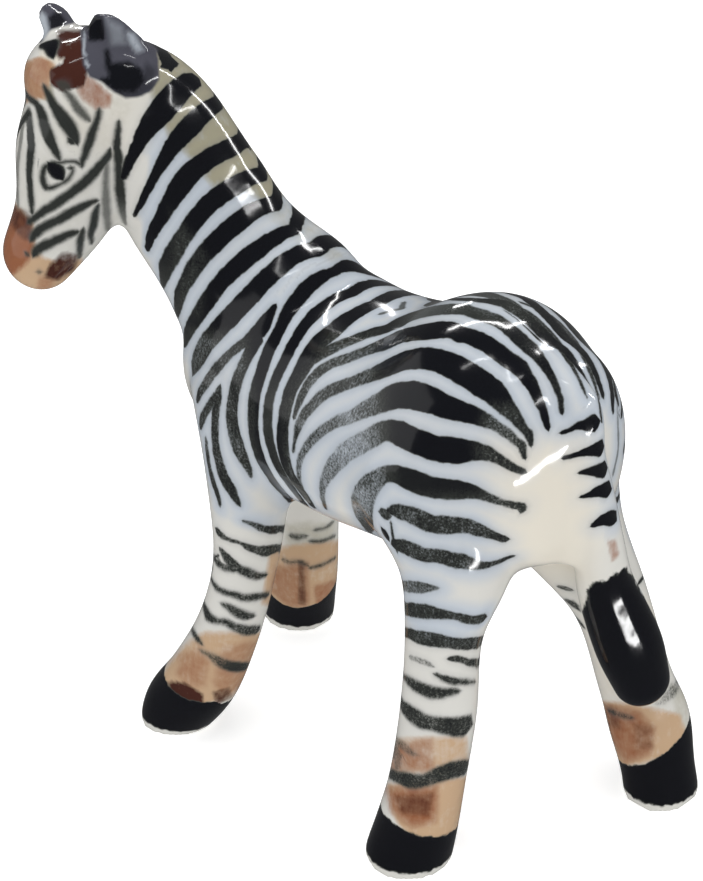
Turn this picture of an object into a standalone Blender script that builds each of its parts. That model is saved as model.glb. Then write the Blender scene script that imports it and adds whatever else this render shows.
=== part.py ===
"""A standing zebra figurine with its head turned to its own left: one slip-cast, glazed ceramic piece.

Metres, +Z up. It faces -Y, its own left is +X, and it stands on its four hooves at z = 0.
The body is rounded limbs that run into each other, blended as the clay is, with the tail and two cupped
ears set on afterwards and the hooves cut flat at the ground.
"""

import bpy
import numpy as np

# Driving sizes.
HEIGHT = 0.0768             # ground to the higher ear tip
BLEND_VOXEL = 0.0009        # the grid in which the limbs become one body
BLEND_STEPS = 7             # how far the joins between limbs are rounded
EAR_VOXEL = 0.0005          # the finer grid in which the ears and tail join the body
EAR_STEPS = 3
KEPT_SHARE = 0.085          # the share of the fine mesh's faces that is kept
NAME = "zebra_figurine"

# Every limb is given in parts of the figure's own height: 76.8 parts from the ground to the ear tip.
PARTS = 76.8
UNIT = HEIGHT / PARTS

# The middle of its footprint box, in the same parts: it becomes x = 0, y = 0.
FOOTPRINT_MIDDLE = (1.3, -2.3, 0.0)

RING_SIDES = 28
RINGS_BETWEEN = 5
CAP_RINGS = 5

# Each row: x, y, z of the limb's middle, its half width, its half depth, and the way its width lies
# in degrees from +X. The two numbers after the rows are how far each end is domed.
TRUNK = ([
    (0, 21.8, 43.6, 9.8, 11.2, 0),
    (0, 15, 42.7, 12.9, 14.1, 0),
    (0, 6, 40.6, 12.7, 12.0, 0),
    (0, -3, 39.5, 12.4, 11.7, 0),
    (0, -11, 40.6, 11.6, 11.2, 0),
    (0, -18.3, 41.0, 9.3, 10.6, 0),
], 0.45, 0.5)
NECK = ([
    (0, -8.5, 42.2, 9, 9.2, 0),
    (0.6, -14.8, 46, 8.6, 10.4, 5),
    (2.2, -19.6, 51.5, 7.15, 8.25, 18),
    (4.0, -22.8, 57.4, 6.5, 7.8, 35),
    (5.4, -24.9, 63.9, 6.0, 6.3, 55),
    (7.4, -26.4, 67.2, 5.4, 6.0, 65),
    (9.0, -26.8, 69.2, 4.9, 5.3, 65),
], 0.6, 0.8)
HEAD = ([
    (12.0, -30.1, 71.0, 5.2, 5.4, 72),
    (11.1, -30.0, 67.3, 5.9, 6.1, 72),
    (11.9, -30.2, 62, 5.6, 6.8, 72),
    (13.7, -31.1, 56.2, 4.6, 5.3, 72),
    (16.4, -32.4, 51.5, 4.4, 3.7, 72),
], 0.75, 0.95)
LEG_LEFT_HIND = ([
    (6, 12, 41, 8, 9.8, 0),
    (7.1, 15.4, 36.6, 6.6, 6.7, 0),
    (8.1, 17.2, 32.6, 5.6, 5.5, 0),
    (10.4, 18.0, 26.6, 3.9, 3.8, 0),
    (11.8, 18.8, 19, 3.75, 3.85, 0),
    (12, 17.7, 10, 3.75, 3.9, 0),
    (12.3, 16.7, 4, 4.1, 4.2, 0),
    (13.2, 16.0, -1, 4.7, 4.4, 0),
], 0.6, 0.1)
LEG_RIGHT_HIND = ([
    (-6, 14, 41, 8, 10, 0),
    (-6.8, 17.8, 32, 5.4, 6.9, 0),
    (-10.2, 21.7, 22.5, 3.9, 4.2, 0),
    (-12.0, 24.15, 13, 3.85, 3.95, 0),
    (-12.8, 25.8, 8, 4.3, 4.35, 0),
    (-12.8, 27.3, 3, 3.9, 3.9, 0),
    (-12.7, 28.1, 0, 4.2, 3.8, 0),
    (-12.7, 28.3, -1, 4.2, 3.8, 0),
], 0.6, 0.1)
LEG_LEFT_FORE = ([
    (6, -12, 40, 6, 7.6, 0),
    (8.8, -10.2, 31, 4.3, 4.8, 0),
    (10.8, -8.9, 23, 3.5, 3.4, 0),
    (11.8, -10.4, 15, 3.5, 3.4, 0),
    (12.6, -13.7, 7, 3.9, 4.0, 0),
    (13.2, -16.8, 2.2, 4.2, 4.0, 0),
    (13.3, -18.3, -1, 4.3, 3.2, 0),
], 0.6, 0.1)
LEG_RIGHT_FORE = ([
    (-5, -14, 40, 6, 7.6, 0),
    (-6.4, -17, 28, 4.4, 5.0, 0),
    (-7.3, -18.2, 18, 3.6, 3.8, 0),
    (-8, -19.3, 9, 3.7, 3.9, 0),
    (-9.2, -21.5, 3, 4.1, 4.3, 0),
    (-9.7, -22.3, -1, 4.0, 4.2, 0),
], 0.6, 0.1)
TAIL = ([
    (0, 20, 52.3, 2.0, 2.0, 0),
    (0.2, 24.9, 50.2, 2.1, 2.0, 0),
    (0.1, 25.7, 45.2, 2.1, 2.1, 0),
    (-1.0, 26.1, 40.2, 2.3, 2.2, 0),
    (-2.5, 26.1, 34.2, 2.6, 2.4, 0),
    (-3.3, 26.4, 29.8, 2.9, 2.7, 0),
    (-4.0, 27.4, 26.4, 3.3, 3.0, 0),
    (-4.8, 28.8, 22.5, 3.5, 3.2, 0),
    (-5.6, 29.9, 18.7, 3.0, 2.8, 0),
], 0.6, 0.9)
TAIL_ROOT = ([
    (1.2, 19, 50.5, 2.6, 2.6, 0),
    (1.3, 23.2, 49.0, 2.6, 2.6, 0),
    (1.2, 24.4, 44.5, 2.4, 2.4, 0),
    (0.2, 24.8, 39.5, 2.4, 2.3, 0),
    (-1.5, 24.6, 33.5, 2.4, 2.2, 0),
], 0.6, 0.6)

# Each ear row: x, y, z of its middle, its half width, how far its back bulges, and how deep it is
# scooped. The three numbers after the rows are the way it opens.
EAR_LEFT = ([
    (10.3, -25.2, 67.9, 2.2, 1.6, 0.6),
    (10.14, -25.3, 69.6, 2.8, 2.0, 1.6),
    (10.0, -26.1, 72.3, 3.3, 2.3, 2.3),
    (10.2, -27.0, 74.1, 2.7, 1.9, 1.5),
    (10.5, -27.6, 75.5, 2.0, 1.4, 0.9),
    (10.7, -28.1, 76.3, 1.3, 1.0, 0.8),
], (0.62, 0.75, 0.2))
EAR_RIGHT = ([
    (11.4, -32.8, 71.8, 2.4, 1.8, 0.9),
    (11.1, -34.0, 73.3, 2.4, 2.1, 1.2),
    (11.0, -34.7, 74.4, 2.1, 1.9, 1.0),
    (11.1, -35.1, 75.2, 1.6, 1.5, 0.9),
    (11.2, -35.3, 75.7, 1.1, 1.0, 0.8),
], (0.45, -0.89, 0.1))
EAR_RIM = 0.9
SCOOP_LEAN = 0.35     # radians: the hollow lies nearer the rim at the back of the head
EAR_TIP = 0.7         # how far the ear runs on past its first and last rings, in their half widths
EAR_TIP_BACK = 0.3    # how far back both of its tips lie


def through(rows, between):
    """A smooth run of rows through the given ones, with this many steps from each to the next."""
    rows = np.asarray(rows, float)
    ends = np.vstack([2 * rows[0] - rows[1], rows, 2 * rows[-1] - rows[-2]])
    run = []
    for i in range(len(rows) - 1):
        t = np.linspace(0.0, 1.0, between, endpoint=False)[:, None]
        a, b, c, d = ends[i:i + 4]
        run.append(b + 0.5 * t * ((c - a) + t * ((2 * a - 5 * b + 4 * c - d) + t * (3 * b - a - 3 * c + d))))
    run.append(rows[-1:])
    return np.vstack(run)


def unit(vectors):
    return vectors / np.linalg.norm(vectors, axis=-1, keepdims=True)


def limb_rings(rows, first_dome, last_dome):
    """Rings of points round a limb, with an end dome of shrinking rings at each end."""
    run = through(rows, RINGS_BETWEEN)
    middle = run[:, :3]
    width = run[:, 3]
    depth = run[:, 4]
    lie = np.radians(run[:, 5])
    along = unit(np.gradient(middle, axis=0))
    side = np.stack([np.cos(lie), np.sin(lie), np.zeros_like(lie)], axis=1)
    side = unit(side - along * (side * along).sum(axis=1, keepdims=True))
    out = np.cross(along, side)
    turn = np.linspace(0.0, 2.0 * np.pi, RING_SIDES, endpoint=False)
    rings = []

    def ring(i, shift, share):
        centre = middle[i] + along[i] * shift
        rings.append(
            centre
            + np.outer(np.cos(turn), side[i]) * width[i] * share
            + np.outer(np.sin(turn), out[i]) * depth[i] * share
        )

    lean = np.radians(np.linspace(0.0, 90.0, CAP_RINGS + 1)[1:-1])
    for angle in lean[::-1]:
        ring(0, -first_dome * min(width[0], depth[0]) * np.sin(angle), np.cos(angle))
    for i in range(len(run)):
        ring(i, 0.0, 1.0)
    for angle in lean:
        ring(-1, last_dome * min(width[-1], depth[-1]) * np.sin(angle), np.cos(angle))
    tips = (
        middle[0] - along[0] * first_dome * min(width[0], depth[0]),
        middle[-1] + along[-1] * last_dome * min(width[-1], depth[-1]),
    )
    return rings, tips


def ear_rings(rows, opens):
    """Rings round a cupped ear: its back bulges and its front has a rim round a hollow."""
    run = through(rows, RINGS_BETWEEN)
    middle = run[:, :3]
    along = unit(np.gradient(middle, axis=0))
    front = np.asarray(opens, float)
    front = unit(front - along * (along @ front)[:, None])
    side = np.cross(front, along)
    turn = np.linspace(0.0, 2.0 * np.pi, RING_SIDES, endpoint=False)
    lip = np.clip(np.sin(turn), 0.0, 1.0)
    back = np.clip(-np.sin(turn), 0.0, 1.0)
    scoop = np.clip(np.sin(turn + SCOOP_LEAN), 0.0, 1.0) ** 4
    rings = []
    for i in range(len(run)):
        offset = EAR_RIM * lip - run[i, 5] * scoop - run[i, 4] * back
        rings.append(
            middle[i]
            + np.outer(np.cos(turn), side[i]) * run[i, 3]
            + np.outer(offset, front[i])
        )
    tips = (
        middle[0] - along[0] * EAR_TIP * run[0, 3] - front[0] * EAR_TIP_BACK,
        middle[-1] + along[-1] * EAR_TIP * run[-1, 3] - front[-1] * EAR_TIP_BACK,
    )
    return rings, tips


def shell(rings, tips):
    """Points and faces of a closed skin over the rings, each end closed by a fan to its tip."""
    points = (np.vstack(rings + [np.asarray(tips)]) - FOOTPRINT_MIDDLE) * UNIT
    last = len(points) - 1
    faces = []
    for i in range(len(rings) - 1):
        for j in range(RING_SIDES):
            a = i * RING_SIDES + j
            b = i * RING_SIDES + (j + 1) % RING_SIDES
            faces.append((a, b, b + RING_SIDES, a + RING_SIDES))
    top = (len(rings) - 1) * RING_SIDES
    for j in range(RING_SIDES):
        k = (j + 1) % RING_SIDES
        faces.append((k, j, last - 1))
        faces.append((top + j, top + k, last))
    return points, faces


def mesh_object(name, shells):
    """One mesh object that holds several closed skins, each turned to face outward."""
    points = []
    faces = []
    start = 0
    for skin, rings in shells:
        a, b, c = (skin[np.array([face[i] for face in rings])] for i in range(3))
        fourth = skin[np.array([face[-1] for face in rings])]
        volume = np.einsum("ij,ij->", a, np.cross(b, c)) + np.einsum("ij,ij->", a, np.cross(c, fourth))
        turned = rings if volume > 0 else [tuple(reversed(face)) for face in rings]
        points.extend(skin.tolist())
        faces.extend(tuple(start + i for i in face) for face in turned)
        start += len(skin)
    mesh = bpy.data.meshes.new(name)
    mesh.from_pydata(points, [], faces)
    mesh.update()
    made = bpy.data.objects.new(name, mesh)
    bpy.context.scene.collection.objects.link(made)
    return made


def as_helper(helper):
    helper.hide_render = True
    helper.display_type = "WIRE"


def add_remesh(target, name, voxel):
    step = target.modifiers.new(name, "REMESH")
    step.mode = "VOXEL"
    step.voxel_size = voxel
    step.adaptivity = 0.0


def add_smooth(target, name, steps):
    step = target.modifiers.new(name, "SMOOTH")
    step.factor = 0.5
    step.iterations = steps


def add_boolean(target, name, operation, other):
    step = target.modifiers.new(name, "BOOLEAN")
    step.operation = operation
    step.solver = "EXACT"
    step.object = other


def main():
    for old in list(bpy.data.objects):
        bpy.data.objects.remove(old, do_unlink=True)

    limbs = (
        TRUNK, NECK, HEAD, LEG_LEFT_HIND, LEG_RIGHT_HIND, LEG_LEFT_FORE, LEG_RIGHT_FORE, TAIL_ROOT)
    figurine = mesh_object(NAME, [shell(*limb_rings(*limb)) for limb in limbs])

    set_on = []
    for name, skin in (
        ("left ear", ear_rings(*EAR_LEFT)),
        ("right ear", ear_rings(*EAR_RIGHT)),
        ("tail", limb_rings(*TAIL)),
    ):
        piece = mesh_object(name, [shell(*skin)])
        as_helper(piece)
        set_on.append(piece)

    reach = HEIGHT
    corners = [(x, y, z) for z in (-reach, 0.0) for y in (-reach, reach) for x in (-reach, reach)]
    sides = [(0, 2, 3, 1), (4, 5, 7, 6), (0, 1, 5, 4), (2, 6, 7, 3), (0, 4, 6, 2), (1, 3, 7, 5)]
    ground = mesh_object("ground", [])
    ground.data.from_pydata(corners, [], sides)
    as_helper(ground)

    add_remesh(figurine, "blend", BLEND_VOXEL)
    add_smooth(figurine, "round joins", BLEND_STEPS)
    for piece in set_on:
        add_boolean(figurine, piece.name, "UNION", piece)
    add_remesh(figurine, "join ears and tail", EAR_VOXEL)
    add_smooth(figurine, "soften", EAR_STEPS)
    thin = figurine.modifiers.new("fewer faces", "DECIMATE")
    thin.ratio = KEPT_SHARE
    add_boolean(figurine, "flat soles", "DIFFERENCE", ground)


main()
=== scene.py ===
"""A glazed ceramic zebra figurine: its smooth clay skin, its hand-painted stripes and the studio round it.

Metres, +Z up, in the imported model's frame. The skin is limbs swept along their middles and fused.
Each painted stroke is a short list of places and widths as the painter laid them, seen from the camera.
It is cast onto the skin there, and carried round to the side that the camera doesn't see.
"""

import math

import bpy
import numpy as np
from bpy.props import FloatProperty, FloatVectorProperty, IntProperty, PointerProperty
from mathutils import Matrix, Vector
from mathutils.bvhtree import BVHTree


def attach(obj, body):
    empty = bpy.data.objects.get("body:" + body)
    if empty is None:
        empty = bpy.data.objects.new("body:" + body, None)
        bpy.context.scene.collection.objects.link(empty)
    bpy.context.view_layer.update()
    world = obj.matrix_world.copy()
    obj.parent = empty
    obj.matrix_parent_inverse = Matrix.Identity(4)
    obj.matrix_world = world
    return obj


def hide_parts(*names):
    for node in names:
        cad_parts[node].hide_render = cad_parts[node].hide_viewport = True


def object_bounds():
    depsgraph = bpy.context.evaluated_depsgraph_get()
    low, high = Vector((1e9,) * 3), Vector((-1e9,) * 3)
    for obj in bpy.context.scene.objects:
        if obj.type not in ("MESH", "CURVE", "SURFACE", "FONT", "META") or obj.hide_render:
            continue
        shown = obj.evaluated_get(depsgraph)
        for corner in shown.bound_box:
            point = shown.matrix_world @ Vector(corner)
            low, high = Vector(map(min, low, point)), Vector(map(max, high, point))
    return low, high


bl_info = {
    "name": "Glazed zebra figurine",
    "version": (1, 0, 0),
    "blender": (4, 5, 0),
    "location": "3D View > Sidebar > Figurine",
    "description": "Builds a painted and glazed ceramic zebra and the studio round it",
    "category": "Object",
}

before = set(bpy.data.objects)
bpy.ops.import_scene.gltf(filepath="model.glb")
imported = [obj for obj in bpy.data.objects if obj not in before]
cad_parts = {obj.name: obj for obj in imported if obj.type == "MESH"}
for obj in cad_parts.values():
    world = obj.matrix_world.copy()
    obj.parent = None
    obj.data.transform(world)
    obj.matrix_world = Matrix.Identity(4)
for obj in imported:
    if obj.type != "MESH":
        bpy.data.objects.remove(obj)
CAD_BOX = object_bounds()
MM = 0.001

# The camera: it looks at a point on the flank from behind the zebra's left shoulder.
LOOK_POINT = np.array([3.2, 2.3, 38.0]) * MM
CAMERA_TURN = math.radians(46)
CAMERA_RISE = math.radians(31)
CAMERA_DISTANCE = 0.27
CAMERA_LENS = 111.5
SENSOR = 36.0
PICTURE = (703, 881)
FOCAL_PIXELS = CAMERA_LENS / SENSOR * max(PICTURE)

TO_CAMERA = np.array([
    math.sin(CAMERA_TURN) * math.cos(CAMERA_RISE),
    math.cos(CAMERA_TURN) * math.cos(CAMERA_RISE),
    math.sin(CAMERA_RISE),
])
CAMERA_PLACE = LOOK_POINT + TO_CAMERA * CAMERA_DISTANCE
CAMERA_LEVEL = np.array([math.sin(CAMERA_TURN), math.cos(CAMERA_TURN), 0.0])
CAMERA_RIGHT = np.array([-math.cos(CAMERA_TURN), math.sin(CAMERA_TURN), 0.0])
CAMERA_UP = np.cross(CAMERA_RIGHT, -TO_CAMERA)

# The clay body, in parts of the figure's height: 76.8 parts from the ground to the ear tip.
UNIT = 0.0768 / 76.8
FOOTPRINT_MIDDLE = np.array([1.3, -2.3, 0.0])
RING_SIDES = 48
RINGS_BETWEEN = 8
CAP_RINGS = 7

# Each row: x, y, z of the limb's middle, half width, half depth, and the way the width lies in degrees.
# The two numbers after the rows are how far each end is domed.
TRUNK = ([
    (0, 21.8, 43.6, 9.8, 11.2, 0),
    (0, 15, 42.7, 12.9, 14.1, 0),
    (0, 6, 40.6, 12.7, 12.0, 0),
    (0, -3, 39.5, 12.4, 11.7, 0),
    (0, -11, 40.6, 11.6, 11.2, 0),
    (0, -18.3, 41.0, 9.3, 10.6, 0),
], 0.45, 0.5)
NECK = ([
    (0, -8.5, 42.2, 9, 9.2, 0),
    (0.6, -14.8, 46, 8.6, 10.4, 5),
    (2.2, -19.6, 51.5, 7.15, 8.25, 18),
    (4.0, -22.8, 57.4, 6.5, 7.8, 35),
    (5.4, -24.9, 63.9, 6.0, 6.3, 55),
    (7.4, -26.4, 67.2, 5.4, 6.0, 65),
    (9.0, -26.8, 69.2, 4.9, 5.3, 65),
], 0.6, 0.8)
HEAD = ([
    (12.0, -30.1, 71.0, 5.2, 5.4, 72),
    (11.1, -30.0, 67.3, 5.9, 6.1, 72),
    (11.9, -30.2, 62, 5.6, 6.8, 72),
    (13.7, -31.1, 56.2, 4.6, 5.3, 72),
    (16.4, -32.4, 51.5, 4.4, 3.7, 72),
], 0.75, 0.95)
LEG_LEFT_HIND = ([
    (6, 12, 41, 8, 9.8, 0),
    (7.1, 15.4, 36.6, 6.6, 6.7, 0),
    (8.1, 17.2, 32.6, 5.6, 5.5, 0),
    (10.4, 18.0, 26.6, 3.9, 3.8, 0),
    (11.8, 18.8, 19, 3.75, 3.85, 0),
    (12, 17.7, 10, 3.75, 3.9, 0),
    (12.3, 16.7, 4, 4.1, 4.2, 0),
    (13.2, 16.0, -1, 4.7, 4.4, 0),
], 0.6, 0.1)
LEG_RIGHT_HIND = ([
    (-6, 14, 41, 8, 10, 0),
    (-6.8, 17.8, 32, 5.4, 6.9, 0),
    (-10.2, 21.7, 22.5, 3.9, 4.2, 0),
    (-12.0, 24.15, 13, 3.85, 3.95, 0),
    (-12.8, 25.8, 8, 4.3, 4.35, 0),
    (-12.8, 27.3, 3, 3.9, 3.9, 0),
    (-12.7, 28.1, 0, 4.2, 3.8, 0),
    (-12.7, 28.3, -1, 4.2, 3.8, 0),
], 0.6, 0.1)
LEG_LEFT_FORE = ([
    (6, -12, 40, 6, 7.6, 0),
    (8.8, -10.2, 31, 4.3, 4.8, 0),
    (10.8, -8.9, 23, 3.5, 3.4, 0),
    (11.8, -10.4, 15, 3.5, 3.4, 0),
    (12.6, -13.7, 7, 3.9, 4.0, 0),
    (13.2, -16.8, 2.2, 4.2, 4.0, 0),
    (13.3, -18.3, -1, 4.3, 3.2, 0),
], 0.6, 0.1)
LEG_RIGHT_FORE = ([
    (-5, -14, 40, 6, 7.6, 0),
    (-6.4, -17, 28, 4.4, 5.0, 0),
    (-7.3, -18.2, 18, 3.6, 3.8, 0),
    (-8, -19.3, 9, 3.7, 3.9, 0),
    (-9.2, -21.5, 3, 4.1, 4.3, 0),
    (-9.7, -22.3, -1, 4.0, 4.2, 0),
], 0.6, 0.1)
TAIL = ([
    (0, 20, 52.3, 2.0, 2.0, 0),
    (0.2, 24.9, 50.2, 2.1, 2.0, 0),
    (0.1, 25.7, 45.2, 2.1, 2.1, 0),
    (-1.0, 26.1, 40.2, 2.3, 2.2, 0),
    (-2.5, 26.1, 34.2, 2.6, 2.4, 0),
    (-3.3, 26.4, 29.8, 2.9, 2.7, 0),
    (-4.0, 27.4, 26.4, 3.3, 3.0, 0),
    (-4.8, 28.8, 22.5, 3.5, 3.2, 0),
    (-5.6, 29.9, 18.7, 3.0, 2.8, 0),
], 0.6, 0.9)
TAIL_ROOT = ([
    (1.2, 19, 50.5, 2.6, 2.6, 0),
    (1.3, 23.2, 49.0, 2.6, 2.6, 0),
    (1.2, 24.4, 44.5, 2.4, 2.4, 0),
    (0.2, 24.8, 39.5, 2.4, 2.3, 0),
    (-1.5, 24.6, 33.5, 2.4, 2.2, 0),
], 0.6, 0.6)
LIMBS = {
    "trunk": TRUNK,
    "neck": NECK,
    "head": HEAD,
    "left_hind": LEG_LEFT_HIND,
    "right_hind": LEG_RIGHT_HIND,
    "left_fore": LEG_LEFT_FORE,
    "right_fore": LEG_RIGHT_FORE,
    "tail_root": TAIL_ROOT,
}

# Each ear row: x, y, z of its middle, its half width, how far its back bulges, and how deep it is scooped.
# The last three numbers are the way it opens.
EAR_LEFT = ([
    (10.3, -25.2, 67.9, 2.2, 1.6, 0.6),
    (10.14, -25.3, 69.6, 2.8, 2.0, 1.6),
    (10.0, -26.1, 72.3, 3.3, 2.3, 2.3),
    (10.2, -27.0, 74.1, 2.7, 1.9, 1.5),
    (10.5, -27.6, 75.5, 2.0, 1.4, 0.9),
    (10.7, -28.1, 76.3, 1.3, 1.0, 0.8),
], (0.62, 0.75, 0.2))
EAR_RIGHT = ([
    (11.4, -32.8, 71.8, 2.4, 1.8, 0.9),
    (11.1, -34.0, 73.3, 2.4, 2.1, 1.2),
    (11.0, -34.7, 74.4, 2.1, 1.9, 1.0),
    (11.1, -35.1, 75.2, 1.6, 1.5, 0.9),
    (11.2, -35.3, 75.7, 1.1, 1.0, 0.8),
], (0.45, -0.89, 0.1))
EAR_RIM = 0.9
SCOOP_LEAN = 0.35     # radians: the hollow lies nearer the rim at the back of the head
EAR_TIP = 0.7         # how far the ear runs on past its first and last rings, in their half widths
EAR_TIP_BACK = 0.3    # how far back both of its tips lie
SOLE_STEPS = 2        # smoothing steps after the soles are pressed flat

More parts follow.
